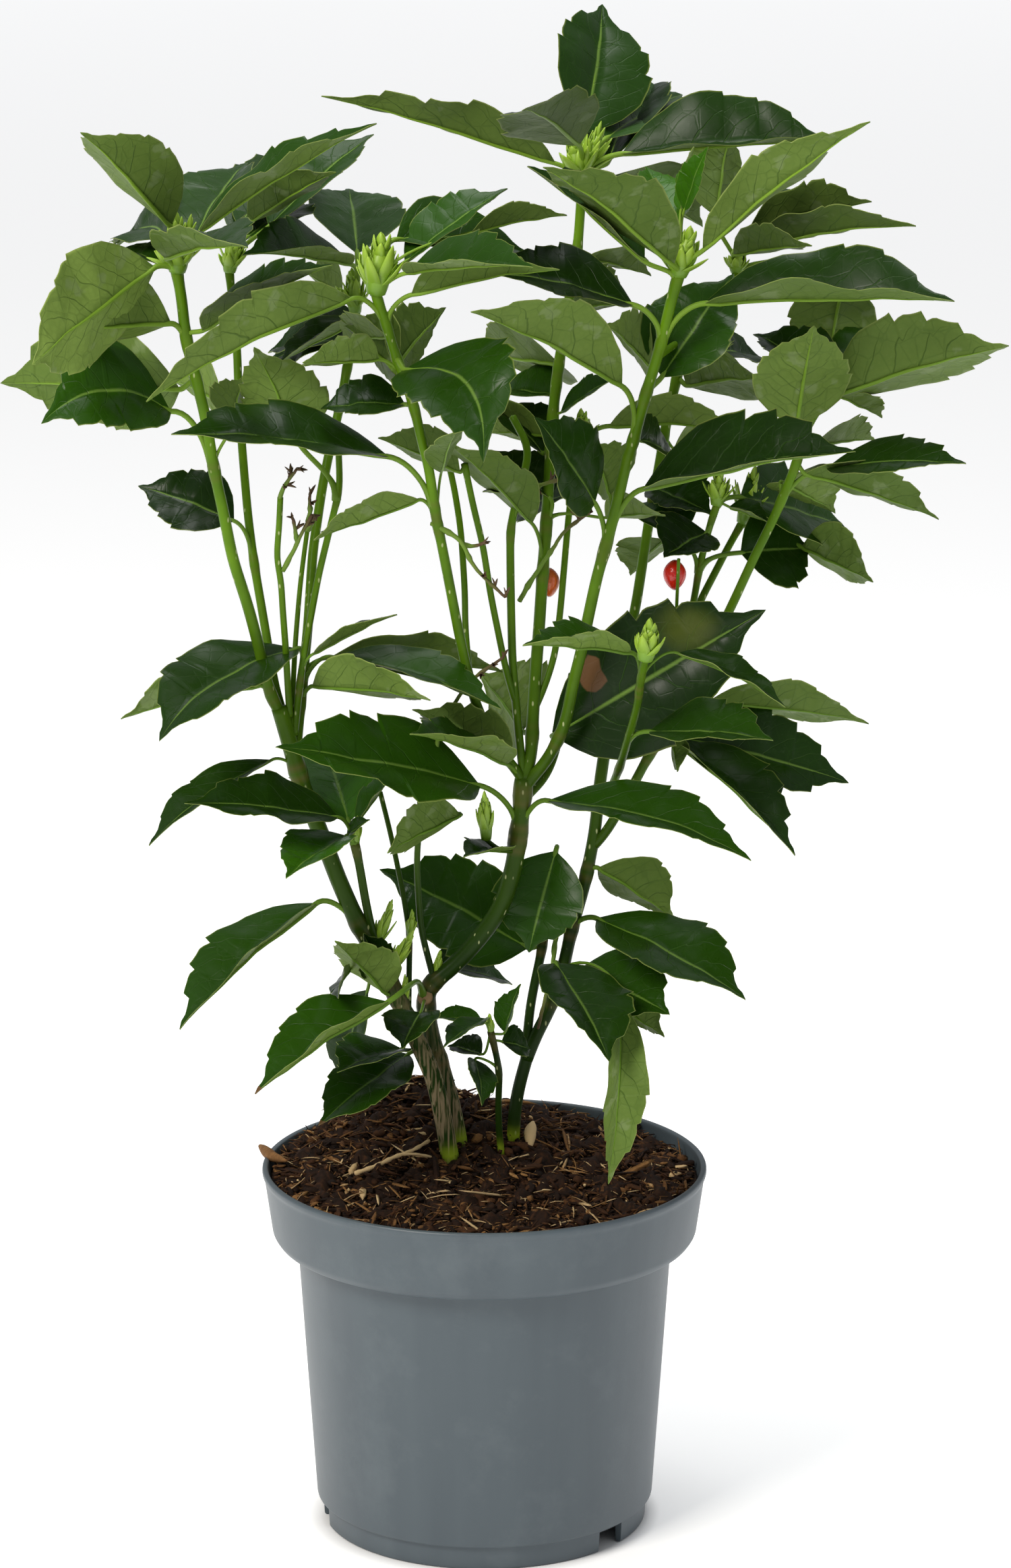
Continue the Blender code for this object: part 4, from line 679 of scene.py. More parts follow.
def tube(route, radii, columns, reference):
    """Points route + r (cos a S + sin a T), S square to route and reference, T to route and S.

    Its ends are closed by a point each. Returns the points, the faces and each point's place in
    the route.
    """
    heading = np.gradient(route, axis=0)
    heading /= np.linalg.norm(heading, axis=1, keepdims=True)
    aside = np.cross(heading, reference)
    aside /= np.maximum(np.linalg.norm(aside, axis=1, keepdims=True), 1e-9)
    third = np.cross(heading, aside)
    turn = np.linspace(0, 2 * math.pi, columns, endpoint=False)[None, :, None]
    spokes = np.cos(turn) * aside[:, None] + np.sin(turn) * third[:, None]
    rings = route[:, None] + radii[:, None, None] * spokes
    rows = len(route)
    tips = [route[0] - heading[0] * radii[0] * CAP_RISE,
            route[-1] + heading[-1] * radii[-1] * CAP_RISE]
    order = np.concatenate([np.repeat(np.arange(rows), columns), [0, rows - 1]])
    return np.concatenate([rings.reshape(-1, 3), tips]), capped_faces(rows, columns), order


def join_parts(name, parts, materials):
    """One piece of many parts, each given as (points, faces, fields, number of its material)."""
    points, quads, slots, used = [], {4: [], 3: []}, {4: [], 3: []}, 0
    fields = {field_name: [] for field_name in parts[0][2]}
    for spots, faces, values, slot in parts:
        for group in faces:
            quads[group.shape[1]].append(group + used)
            slots[group.shape[1]].append(np.full(len(group), slot))
        for field_name, joined in fields.items():
            joined.append(np.broadcast_to(values.get(field_name, 0.0), len(spots)))
        points.append(spots)
        used += len(spots)
    faces = [np.concatenate(groups) for groups in quads.values() if groups]
    numbers = np.concatenate([np.concatenate(groups) for groups in slots.values() if groups])
    fields = {field_name: np.concatenate(joined) for field_name, joined in fields.items()}
    return make_piece(name, np.concatenate(points), faces, materials, fields, numbers)


def stem_part(name, joints):
    """One stem: its tube swells at each joint, with a fine scar ring above it.

    At a distance d from the joint the swelling is its share times exp(-(d / reach)^2), and the
    scar is exp(-((d - rise) / reach)^2).
    """
    stem = STEMS[name]
    points, radii = stem_line(name)
    if not stem.grows_on:
        points = np.concatenate([[points[0] + unit(points[0] - points[1]) * STEM_DEPTH_IN_SOIL],
                                 points])
    route = smooth_route(points, STEM_RING_SPACING, STEM_SOFTNESS)
    width = BARK_SHARE * (radii[0] + (radii[-1] - radii[0]) * np.linspace(0, 1, len(route)))
    scar, swell = np.zeros(len(route)), np.zeros(len(route))
    for joint in joints:
        off = np.linalg.norm(route - joint, axis=1)
        swell = np.maximum(swell, JOINT_SWELLING * np.exp(-(off / JOINT_REACH) ** 2))
        ring = np.exp(-((off - SCAR_RISE) / SCAR_REACH) ** 2)
        scar = np.maximum(scar, ring * np.clip((SCARS_BELOW - joint[2]) / SCAR_RUN, FAINT_SCAR, 1))
    spots, faces, order = tube(route, width * (1 + swell), STEM_COLUMNS, DEPTHWARD)
    x, y, level = route[order].T
    above_soil = level - soil_height(x, y) - FRESH_RISE
    fresh = 0.0 if stem.grows_on else np.exp(-(above_soil / FRESH_REACH) ** 2)
    split = (BARKY_TRUNKS.get(name, 0.0) + BARKY_RUN / 2 - level) / BARKY_RUN
    return spots, faces, {"scar": scar[order], "fresh": fresh, "barky": np.clip(split, 0, 1),
                          "old": np.clip((OLD_BARK_BELOW - level) / OLD_BARK_RUN, 0, 1)}, 0


def green_bark():
    """Living green bark: a thin waxy skin, paler and yellower when young, corky where it is old."""
    material, tree, shader = start_material("green_bark")
    place = coordinates(tree)
    barky = field(tree, "barky")
    fibres = noise(tree, place, 1.0, 4.0, stretch=(900.0, 900.0, 38.0))
    spread = add_node(tree, "ShaderNodeMapping", {"Vector": place, "Scale": (330.0, 330.0, 130.0)})
    cells = add_node(tree, "ShaderNodeTexVoronoi", {"Vector": spread, "Scale": 1.0}, "Distance")
    stripe = maths(tree, "MULTIPLY", ramp(tree, fibres, 0.44, 0.56), barky)
    set_inputs(tree, shader, {
        "Base Color": layered(tree, "#6B9416", (
            ("#3A5A0E", noise(tree, place, 55.0, 3.0), 1.0),
            ("#1F3609", field(tree, "old"), 1.0),
            ("#B9C08A", ramp(tree, cells, 0.10, 0.17, 0.75, 0.0), 1.0),
            ("#8A7A5C", stripe, 1.0),
            ("#6B5A34", field(tree, "scar"), 0.5),
            ("#8FA628", field(tree, "fresh"), 1.0))),
        "Roughness": ramp(tree, barky, 0.0, 1.0, 0.33, 0.8),
        "Specular IOR Level": 0.12,
        "Normal": bump(tree, fibres, 0.25, 0.0003)})
    return material


# The leaves: thick evergreen blades with a few coarse teeth, in pairs along the stems. The upper
# side is waxed and dark, the under side is matt and pale with raised veins, and the stalk runs on
# into a pale midrib. Each is joined to its stem by the broad foot of its stalk.


@dataclass
class Leaf:
    """A leaf: photo pixels of its node, blade base and tip, and how the blade is turned.

    out is how far the tip lies behind its node, wide the full width, turn the angle of the upper
    face from the viewer, fold the angle by which each half rises from the midrib. arch and sweep
    bow the midrib up and sideways, as shares of its length. lean is how much of out the blade's
    base takes, and push what settling adds to the tip's depth.
    """

    name: str
    stem: str
    at: tuple
    base: tuple
    tip: tuple
    out: float
    wide: float
    turn: float
    fold: float = 22.0
    arch: float = 0.02
    sweep: float = 0.0
    teeth: int = 3
    lean: float = 0.16
    push: float = 0.0


# Each leaf: its name and stem, photo pixels of its node, blade base and tip, then out, wide, turn
# and, unless it is the usual one, fold
LEAF_ROWS = (
    ("A1", "L1", 264, 400, 252, 335, 120, 192, -45, 40, 140, 36),
    ("A2", "L1", 264, 402, 290, 350, 365, 236, 50, 36, 50),
    ("A3", "L1", 266, 398, 296, 345, 556, 179, -10, 27, 83, 35),
    ("A4", "L2", 342, 402, 400, 335, 554, 198, 36, 34, 55),
    ("A5", "L2", 342, 400, 370, 330, 498, 251, -25, 27, 125),
    ("A6", "L2", 340, 400, 345, 345, 475, 211, 60, 36, 50),
    ("A7", "L1", 262, 402, 247, 383, 367, 361, -70, 36, 95, 30),
    ("A8", "L6", 528, 460, 520, 392, 363, 371, -45, 34, 72, 33),
    ("A9", "L6", 528, 462, 530, 375, 518, 276, 55, 42, 12),
    ("A10", "S1", 556, 432, 602, 388, 752, 278, 15, 28, 60),
    ("A11", "S1", 556, 432, 590, 355, 790, 378, 35, 38, 55),
    ("A12", "S1", 560, 445, 605, 405, 789, 392, -30, 32, 66, 34),
    ("A13", "S1", 574, 483, 612, 437, 830, 395, -15, 34, 112, 20),
    ("A13b", "S1", 558, 432, 700, 345, 840, 316, 20, 22, 110),
    ("A14", "S1", 574, 483, 520, 444, 210, 587, -45, 37, 121, 31),
    ("A15", "L1", 264, 405, 228, 398, 45, 540, -35, 50, 142, 15),
    ("A16", "L1", 277, 510, 252, 480, 83, 490, -30, 44, 140, 32),
    ("A17", "L1", 292, 565, 265, 578, 2, 567, 25, 50, 150, 14),
    ("A18", "L1", 316, 700, 252, 610, 63, 625, -35, 48, 35, 15),
    ("A20", "L2", 354, 600, 330, 598, 255, 562, 30, 28, 130),
    ("A21", "L1", 262, 402, 245, 352, 165, 362, 45, 30, 55),
    ("A22", "L1", 262, 405, 240, 392, 172, 368, 40, 20, 62),
    ("A23", "L1", 275, 500, 302, 490, 490, 388, -22, 36, 85, 28),
    ("A24", "L6", 524, 475, 508, 440, 452, 402, 20, 22, 130),
    ("A25", "S1", 600, 560, 585, 545, 660, 456, 30, 34, 135),
    ("A26", "S1", 600, 560, 575, 500, 508, 507, 25, 26, 125),
    ("A27", "S1", 600, 560, 560, 533, 448, 536, -30, 28, 118),
    ("A28", "L5", 499, 742, 441, 653, 378, 512, -8, 38, 152, 12),
    ("A29", "L2", 377, 836, 346, 772, 205, 718, 10, 31, 32, 15),
    ("A30", "L6", 522, 515, 500, 505, 396, 520, 20, 30, 62),
    ("A31", "L6", 515, 545, 545, 470, 410, 540, -14, 26, 75, 26),
    ("A32", "L1", 317, 695, 345, 632, 360, 560, 20, 24, 130),
    ("T1", "S3", 864, 262, 868, 195, 897, 3, 45, 45, -25, 15),
    ("T2", "S3", 864, 262, 858, 215, 772, 150, -85, 38, 150, 15),
    ("T3", "S3", 862, 275, 822, 242, 478, 137, -20, 35, 113, 23),
    ("T4", "S3", 864, 268, 925, 228, 1235, 200, -12, 46, 55, 37),
    ("T5", "S3", 864, 264, 900, 205, 1012, 138, 55, 42, 40),
    ("T6", "S4b", 1095, 404, 1062, 320, 1085, 180, 25, 32, 150),
    ("T7", "S4", 1006, 410, 997, 392, 807, 241, -42, 42, 126, 24),
    ("T8", "S4", 1004, 418, 955, 387, 785, 244, -18, 36, 62, 30),
    ("Y1", "S4", 1008, 406, 1015, 312, 1048, 218, 8, 14, 45),
    ("Y2", "S4", 1008, 406, 1010, 312, 1027, 217, 14, 12, 78),
    ("Y3", "S4", 1008, 406, 1000, 330, 958, 246, 20, 24, 40),
    ("B1", "S4", 974, 507, 938, 452, 720, 405, -30, 42, 60, 20),
    ("R1a", "S4", 1010, 404, 1045, 370, 1288, 174, -30, 35, 120),
    ("R1b", "S4b", 1095, 402, 1110, 345, 1293, 298, 10, 36, 105, 30),
    ("R1c", "S4b", 1094, 405, 1090, 378, 1205, 363, -25, 26, 118),
    ("R1d", "S4b", 1095, 402, 1120, 352, 1285, 318, 30, 34, 50),
    ("R1e", "S4b", 1095, 402, 1110, 368, 1358, 326, -2, 34, 108, 18),
    ("R2", "S4", 985, 510, 1048, 450, 1415, 439, -28, 49, 66, 39),
    ("R3", "Rc", 1190, 655, 1239, 586, 1497, 508, -16, 44, 137, 28),
    ("R4", "Rc", 1192, 654, 1182, 632, 1207, 479, -30, 40, 166, 10),
    ("R5", "S4", 899, 810, 956, 725, 1265, 662, -48, 46, 60, 32),
    ("R6", "S4b", 1094, 404, 1250, 420, 1225, 560, 10, 36, 165, 10),
    ("R7a", "Rc", 1192, 652, 1230, 560, 1118, 492, 30, 32, 50),
    ("R7b", "Rc", 1192, 652, 1240, 560, 1335, 487, 34, 32, 50),
    ("R9", "Rc", 1192, 656, 1242, 586, 1309, 619, 12, 20, 105),
    ("R10", "Rd", 1004, 562, 1020, 572, 1131, 558, -26, 38, 130, 12),
    ("R10b", "Rd", 1012, 522, 1020, 545, 1070, 503, -18, 30, 130),
    ("R10c", "Rd", 1012, 522, 1035, 520, 1132, 530, 20, 30, 60),
    ("R11", "S5", 868, 668, 905, 632, 1097, 630, -6, 36, 109, 19),
    ("R12", "Rc", 1164, 742, 1228, 694, 1432, 683, -14, 34, 65, 13),
    ("R13", "Rc", 1183, 690, 1195, 703, 1394, 765, -4, 33, 115, 17),
    ("R14", "Rc", 1162, 742, 1160, 715, 1239, 758, 22, 34, 130),
    ("R14a", "Rc", 1188, 670, 1205, 662, 1297, 650, 26, 28, 108),
    ("R15", "Rb", 1065, 750, 1100, 738, 1258, 781, 22, 38, 48, 12),
    ("R16", "Re", 1100, 780, 1190, 812, 1296, 863, -4, 34, 128),
    ("R17", "Rb", 1038, 845, 1100, 820, 1206, 812, 14, 36, 25, 10),
    ("M1", "S1", 589, 535, 600, 549, 716, 683, -48, 43, 12, 14),
    ("M2", "S1", 643, 755, 574, 677, 256, 638, -34, 46, 66, 18),
    ("M3", "S1", 614, 605, 600, 600, 476, 602, 2, 36, 64, 12),
    ("M4", "S1", 650, 780, 620, 742, 464, 798, -22, 28, 100),
    ("M5", "S3", 795, 850, 788, 775, 668, 656, -38, 28, 128),
    ("M6", "S4", 896, 818, 882, 746, 797, 619, -30, 38, 45, 12),
    ("M6b", "S4", 900, 808, 905, 735, 880, 655, 25, 30, 130),
    ("M7", "S2b", 690, 692, 682, 700, 562, 648, -12, 30, 122),
    ("M8", "S1", 650, 782, 655, 700, 677, 637, -14, 16, 135),
    ("M9", "S4", 940, 654, 920, 571, 699, 456, -52, 44, 123, 33),
    ("M11", "S4", 960, 590, 983, 558, 1088, 405, 30, 40, 25, 12),
    ("M12", "Rd", 966, 760, 985, 800, 935, 852, 20, 26, 130),
    ("M13", "Rb", 1037, 850, 1008, 795, 940, 745, 18, 32, 50),
    ("M14", "Rb", 1060, 765, 1048, 790, 985, 825, -12, 34, 40),
    ("M15", "Rb", 1065, 748, 1082, 752, 1143, 775, -12, 20, 72),
    ("M16", "S3", 812, 775, 900, 768, 982, 761, -12, 24, 120),
    ("M17", "S3", 822, 618, 832, 612, 908, 562, -12, 17, 62),
    ("M18", "S4", 935, 680, 948, 652, 1003, 677, 30, 26, 60),
    ("M19", "Rd", 985, 650, 1000, 665, 1060, 648, 22, 24, 125),
    ("M20", "Rd", 970, 735, 965, 722, 1057, 762, -14, 32, 48),
    ("M22", "S3", 828, 545, 830, 540, 722, 530, 22, 42, 122, 10),
    ("M23", "S3", 826, 570, 820, 585, 735, 580, 30, 30, 60),
    ("M24", "S3", 818, 640, 810, 645, 722, 640, 26, 32, 125),
    ("M25", "S3", 810, 790, 815, 738, 722, 665, 4, 30, 62),
    ("M26", "S2", 757, 790, 762, 735, 716, 728, -4, 20, 70),
    ("M27", "S5", 848, 740, 838, 735, 760, 760, 24, 30, 50),
    ("C1", "L6", 450, 1000, 440, 963, 236, 1094, -40, 42, 50, 15),
    ("C2", "L1", 400, 1035, 385, 1017, 179, 1060, -6, 36, 114),
    ("C3", "L5", 444, 1018, 465, 970, 588, 909, -6, 22, 92, 14),
    ("C4", "L6", 450, 1000, 491, 976, 745, 990, 18, 29, 114),
    ("C5", "L6", 448, 1020, 495, 975, 744, 1051, -22, 31, 64, 25),
    ("C6", "L6", 446, 1045, 465, 1018, 640, 1036, -12, 32, 120),
    ("C7", "mid_trunk", 769, 1235, 710, 1165, 410, 1107, -52, 48, 50, 16),
    ("C8", "mid_trunk", 776, 1170, 750, 1133, 610, 1084, -45, 32, 88, 28),
    ("C9", "mid_trunk", 775, 1180, 755, 1131, 612, 1051, -12, 32, 125),
    ("C10", "S3", 790, 1090, 775, 1085, 715, 1000, 36, 44, 145),
    ("C11", "S4", 830, 1096, 822, 1090, 1135, 905, -4, 54, 4, 5),
    ("C12", "Rg", 951, 1025, 935, 968, 776, 954, -22, 34, 84, 28),
    ("C13", "Rg", 952, 1005, 1006, 969, 1167, 1045, -14, 20, 68),
    ("C14", "Rc", 1010, 1045, 1050, 1042, 1288, 1067, 12, 31, 120, 15),
    ("C15", "Rg", 921, 1140, 965, 1085, 1146, 1094, -40, 34, 58),
    ("C16", "Rc0", 975, 1105, 1010, 1094, 1261, 1158, -4, 39, 32, 12),
    ("C17", "Rc0", 962, 1121, 1010, 1105, 1183, 1263, -20, 38, 60, 30),
    ("C18", "Rc0", 980, 1098, 997, 1095, 1006, 1145, -10, 14, 125),
    ("C19", "mid_trunk", 770, 1240, 815, 1188, 1114, 1268, -52, 38, 60, 18),
    ("C20", "Rb0", 872, 1295, 888, 1288, 1000, 1360, -8, 36, 132),
    ("C21", "Rb0", 848, 1378, 887, 1363, 1107, 1475, -30, 42, 52, 14),
    ("C22", "Rb0", 835, 1445, 860, 1438, 993, 1503, -32, 42, 35, 12),
    ("C23", "Rb0", 822, 1480, 900, 1480, 987, 1537, -12, 28, 125),
    ("C24", "Rb0", 833, 1450, 825, 1430, 905, 1568, -58, 38, 35),
    ("C25", "Rb0", 835, 1445, 922, 1490, 909, 1760, -75, 22, 140),
    ("C26", "left_trunk", 440, 1145, 402, 1128, 220, 1252, -24, 23, 62),
    ("C27", "L7", 528, 1260, 500, 1212, 276, 1188, -34, 29, 50),
    ("C28", "L7", 526, 1252, 517, 1218, 480, 1100, 30, 42, 10),
    ("C29", "L7", 526, 1252, 529, 1221, 590, 1141, 10, 18, 70),
    ("C30", "L7", 528, 1262, 514, 1240, 424, 1301, -34, 32, 55),
    ("C31", "L7", 526, 1252, 514, 1242, 547, 1215, -8, 10, 60),
    ("C33", "left_trunk", 532, 1372, 468, 1341, 262, 1520, -34, 42, 65, 28),
    ("C34", "mid_trunk", 630, 1490, 575, 1487, 377, 1620, -58, 42, 68, 28),
    ("C35", "mid_trunk", 650, 1570, 605, 1564, 473, 1668, -56, 30, 38, 14),
    ("C35b", "left_trunk", 605, 1512, 596, 1556, 500, 1590, -22, 30, 60),
    ("C37", "left_trunk", 562, 1424, 545, 1470, 500, 1604, 24, 26, 40),
    ("C38", "left_trunk", 590, 1480, 572, 1473, 497, 1395, -24, 32, 130),
    ("C39", "L8", 604, 1400, 560, 1442, 540, 1385, -12, 18, 20),
    ("C40", "left_trunk", 575, 1450, 519, 1438, 500, 1480, -28, 12, 80),
    ("C41", "mid_trunk", 632, 1495, 624, 1502, 597, 1552, -42, 24, 30),
    ("C42", "Ra", 806, 1405, 782, 1405, 565, 1287, 14, 48, 28, 14),
    ("C43", "Ra", 822, 1280, 824, 1264, 784, 1413, -22, 38, 12, 12),
    ("C44", "mid_trunk", 640, 1455, 645, 1432, 762, 1458, 22, 25, 60),
    ("C45", "S0", 623, 1225, 682, 1210, 572, 1263, -22, 30, 126),
    ("C46", "mid_trunk", 768, 1250, 752, 1262, 688, 1268, -14, 20, 75),
    ("s1", "shoot", 728, 1532, 722, 1511, 658, 1551, -14, 16, 60),
    ("s2", "shoot", 729, 1534, 714, 1564, 664, 1550, 10, 18, 55),
    ("s3", "shoot", 730, 1536, 749, 1531, 771, 1459, 8, 16, 60),
    ("s4", "shoot", 732, 1545, 745, 1545, 788, 1556, 4, 16, 40),
    ("s5", "shoot", 740, 1590, 705, 1572, 717, 1637, -24, 14, 40),
    ("s6", "shoot", 728, 1532, 715, 1515, 640, 1508, -8, 14, 60))
# Leaves that the CAD solids leave out: each lies deep in the crown, mostly behind others
INNER_LEAF_ROWS = (
    ("I1", "S3", 864, 266, 902, 240, 962, 118, 60, 42, 35),
    ("I2", "S3", 862, 276, 902, 264, 1042, 330, 45, 42, 125),
    ("I3", "S3", 850, 372, 868, 382, 966, 408, 22, 22, 118),
    ("I4", "S3", 836, 470, 844, 456, 925, 450, 20, 34, 125),
    ("I5", "S3", 815, 665, 805, 672, 735, 598, 16, 34, 55),
    ("I6", "S4", 962, 585, 966, 545, 903, 480, 32, 30, 125),
    ("I7", "S1", 600, 560, 588, 552, 516, 482, 24, 34, 128),
    ("I8", "L6", 520, 500, 538, 482, 398, 536, 26, 34, 52),
    ("I9", "L2", 342, 404, 366, 352, 452, 300, 45, 34, 50))
# What else is unusual about a few leaves
UNUSUAL = {
    "arch": {"A18": 0.1, "T3": 0.01, "T4": 0, "R2": 0.01, "R5": 0.01, "M1": 0.1, "C1": 0.04,
             "C11": 0.01},
    "sweep": {"A11": 0.05, "A18": 0.16, "A21": 0.1, "A27": 0.05, "B1": 0.04, "M1": 0.2,
              "M4": 0.12, "C1": 0.07, "C5": 0.04, "C13": 0.05, "C19": 0.05, "C26": 0.06},
    "teeth": {"R17": 2, "M1": 4, "M8": 1, "M26": 1, "C18": 1, "C22": 4, "C31": 1, "C39": 2,
              "C40": 1, "C41": 2, "C46": 1, "s1": 2, "s2": 2, "s3": 2, "s4": 2, "s5": 2, "s6": 2},
    "lean": {"C11": -2.5, "C12": 0.3, "C15": 0.6, "C25": 0.5, "C34": 0.8, "C37": 0.5, "C41": 0.5,
             "C42": 0.4, "C43": 0.6}}
YOUNG_LEAVES = ("Y1", "Y2", "Y3")
# Leaves that light shines through from behind, given a brighter green as painted backlight
BACKLIT_PAINTED_LEAVES = ("A15", "C28", "C30")
# Marks on a few blades: leaf, along, across, reach along, reach across, kind
MARKS = (("C11", 0.27, 0.60, 0.06, 0.30, "dry"), ("C11", 0.70, 0.45, 0.09, 0.35, "yellow"),
         ("C34", 1.0, 0.0, 0.05, 3.0, "dry"), ("C35", 1.0, 0.0, 0.04, 3.0, "dry"))


def read_leaf(name, stem, *numbers):
    """The leaf that a row of a leaf table gives."""
    unusual = {kind: found[name] for kind, found in UNUSUAL.items() if name in found}
    return Leaf(name, stem, numbers[:2], numbers[2:4], numbers[4:6], *numbers[6:], **unusual)


LEAVES = [read_leaf(*row) for row in LEAF_ROWS]

# Half width along a blade, from its base to its drawn-out tip
WIDTH_PLACES = (0.0, 0.05, 0.12, 0.25, 0.40, 0.55, 0.70, 0.85, 0.94, 1.0)
WIDTH_SHARES = (0.05, 0.30, 0.58, 0.88, 1.0, 0.94, 0.74, 0.38, 0.15, 0.0)
TOOTH_PLACES = {1: (0.62,), 2: (0.55, 0.75), 3: (0.48, 0.65, 0.81), 4: (0.40, 0.54, 0.68, 0.82)}
TOOTH_RUN = 0.10
TOOTH_CUT_RUN = 0.05
TOOTH_OUT = 0.09
TOOTH_CUT = 0.10
# How far a blade's base is opened out in depth
BASE_SPREAD = 1.1
# A blade's lift points up in the picture, or to the right where it is this close to level
NEARLY_LEVEL = 0.12


def half_width(along, teeth, bite=1.0):
    """Half width of a blade as a share of its widest, with coarse teeth that point to the tip."""
    share = np.interp(along, WIDTH_PLACES, WIDTH_SHARES)
    for tooth in TOOTH_PLACES[teeth]:
        before = np.clip((along - tooth + TOOTH_RUN) / TOOTH_RUN, 0, 1) * (along <= tooth)
        after = np.clip(1 - (along - tooth) / TOOTH_CUT_RUN, 0, 1) * (along > tooth)
        share = share + bite * (TOOTH_OUT * before ** 2 - TOOTH_CUT * after)
    return np.clip(share, 0.0, None)


def leaf_frame(leaf):
    """Node, blade base and tip of a leaf, with its side and upper-face directions."""
    node = stem_point(leaf.stem, leaf.at)
    base = seen(leaf.base, node[1] + leaf.out * leaf.lean * BASE_SPREAD)
    tip = seen(leaf.tip, node[1] + leaf.out * DEPTH_SPREAD + leaf.push)
    chord = unit(tip - base)
    view = EYE - (base + tip) / 2
    face = unit(view - view @ chord * chord)
    lift = np.cross(chord, face)
    if lift[2] < -NEARLY_LEVEL or (abs(lift[2]) <= NEARLY_LEVEL and lift[0] < 0):
        lift = -lift
    turn = math.radians(leaf.turn)
    normal = math.cos(turn) * face + math.sin(turn) * lift
    side = math.cos(turn) * lift - math.sin(turn) * face
    return node, base, tip, side, normal


def blade(leaf, along, across, teeth, bite=1.0):
    """Blade surface on a grid: along runs from base to tip, across from -1 to 1 over the midrib.

    The half width times across is laid out at the fold angle, and the midrib bows by arch and
    sweep times 4u(1 - u) of its length.
    """
    _, base, tip, side, normal = leaf_frame(leaf)
    u, v = np.meshgrid(along, across, indexing="ij")
    reach = np.abs(v) * half_width(u, teeth, bite) * leaf.wide / 2
    fold = math.radians(leaf.fold)
    bow = 4 * u * (1 - u) * np.linalg.norm(tip - base)
    up = math.sin(fold) * reach + leaf.arch * bow
    out = np.sign(v) * math.cos(fold) * reach + leaf.sweep * bow
    return base + u[..., None] * (tip - base) + up[..., None] * normal + out[..., None] * side


CLEARANCE = 7.0
# How much nearer than the clearance a blade may come to a stem
STEM_SHARE = 0.6
# Blades, and a blade and a stem, lie over each other in the picture within this of the clearance
BLADE_MARGIN = 2
STEM_MARGIN = 5
SAMPLES_ALONG = np.linspace(0.15, 1.0, 12)
SAMPLES_ACROSS = np.array([-0.9, -0.45, 0.0, 0.45, 0.9])
# Nearer its base than this, a blade may touch the stem that it grows on
FREE_FROM = 0.3
SETTLE_ROUNDS = 30
LARGEST_PUSH = 40.0
LARGEST_STEP = 4.0
STEP_SHARE = 0.6
STEM_STEP_SHARE = 0.7


def blade_clouds():
    """Sample points of every blade."""
    rows = [blade(leaf, SAMPLES_ALONG, SAMPLES_ACROSS, leaf.teeth).reshape(-1, 3)
            for leaf in LEAVES]
    return np.array(rows, np.float32)


def stem_posts():
    """Sample points every few millimetres along the stems, their radii and stem numbers."""
    posts, radii, owners = [], [], []
    for number, name in enumerate(STEMS):
        points, thick = stem_line(name)
        for low, high, radius in zip(points[:-1], points[1:], thick):
            count = max(1, round(np.linalg.norm(high - low) / CLEARANCE))
            posts += [low + (high - low) * step / count for step in range(count)]
            radii += [radius] * count
            owners += [number] * count
    return np.array(posts, np.float32), np.array(radii, np.float32), np.array(owners)


def settle():
    """Moves leaf tips in depth until blades pass in front of or behind each other and the stems.

    Each pair keeps the order in depth that it starts with, and a tip is pushed along its sight
    line, which leaves the view from the front as it was.
    """
    clouds = blade_clouds()
    middle = clouds.mean(1)
    span = np.ptp(clouds, axis=1).max(1)
    first, second = np.triu_indices(len(LEAVES), 1)
    apart = np.hypot(*(middle[first] - middle[second])[:, [0, 2]].T)
    near = apart < (span[first] + span[second]) / 2 + CLEARANCE
    first, second = first[near], second[near]
    gaps = clouds[first][:, :, None] - clouds[second][:, None]
    over = np.hypot(gaps[..., 0], gaps[..., 2]) < CLEARANCE + BLADE_MARGIN
    behind = np.where(over.any((1, 2)), (gaps[..., 1] * over).sum((1, 2)),
                      (middle[first] - middle[second])[:, 1])
    order = np.where(behind >= 0, 1.0, -1.0)

    posts, radii, owners = stem_posts()
    gaps = clouds[:, :, None] - posts[None, None]
    over = np.hypot(gaps[..., 0], gaps[..., 2]) < CLEARANCE + STEM_MARGIN
    depth = (gaps[..., 1] * over).sum(1)
    by_stem = np.stack([depth[:, owners == number].sum(1) for number in range(len(STEMS))], 1)
    post_order = np.sign(by_stem.astype(float))[:, owners]

    lever = np.repeat(SAMPLES_ALONG, len(SAMPLES_ACROSS)).astype(np.float32)
    free = lever > FREE_FROM
    for _ in range(SETTLE_ROUNDS):
        gap = np.linalg.norm(clouds[first][:, :, None] - clouds[second][:, None], axis=-1)
        need = (np.clip(CLEARANCE - gap, 0, None) * lever[:, None]).max((1, 2)) * order
        force = np.zeros(len(LEAVES))
        np.add.at(force, first, need / 2)
        np.add.at(force, second, -need / 2)
        gap = np.linalg.norm(clouds[:, :, None] - posts[None, None], axis=-1)
        close = np.clip(CLEARANCE * STEM_SHARE + radii - gap, 0, None) * free[:, None]
        touched = np.maximum((close > 0).sum((1, 2)), 1)
        force += STEM_STEP_SHARE * (close.sum(1) * post_order).sum(1) / touched
        for leaf, pull in zip(LEAVES, force):
            push = leaf.push + STEP_SHARE * np.clip(pull, -LARGEST_STEP, LARGEST_STEP)
            leaf.push = float(np.clip(push, -LARGEST_PUSH, LARGEST_PUSH))
        clouds = blade_clouds()


LEAF_COLUMNS = np.array([-1.0, -0.93, -0.7, -0.42, -0.16, 0.0, 0.16, 0.42, 0.7, 0.93, 1.0])
BLADE_THICKNESS = 0.55
# How many even rows a blade has, and the power that draws them towards its tip
BLADE_ROWS = 24
ROW_POWER = 0.92
# Round each tooth: where the margin needs points, from before its tip to past its notch
TOOTH_POINTS = (-0.025, -0.008, 0.0, 0.01, 0.035)
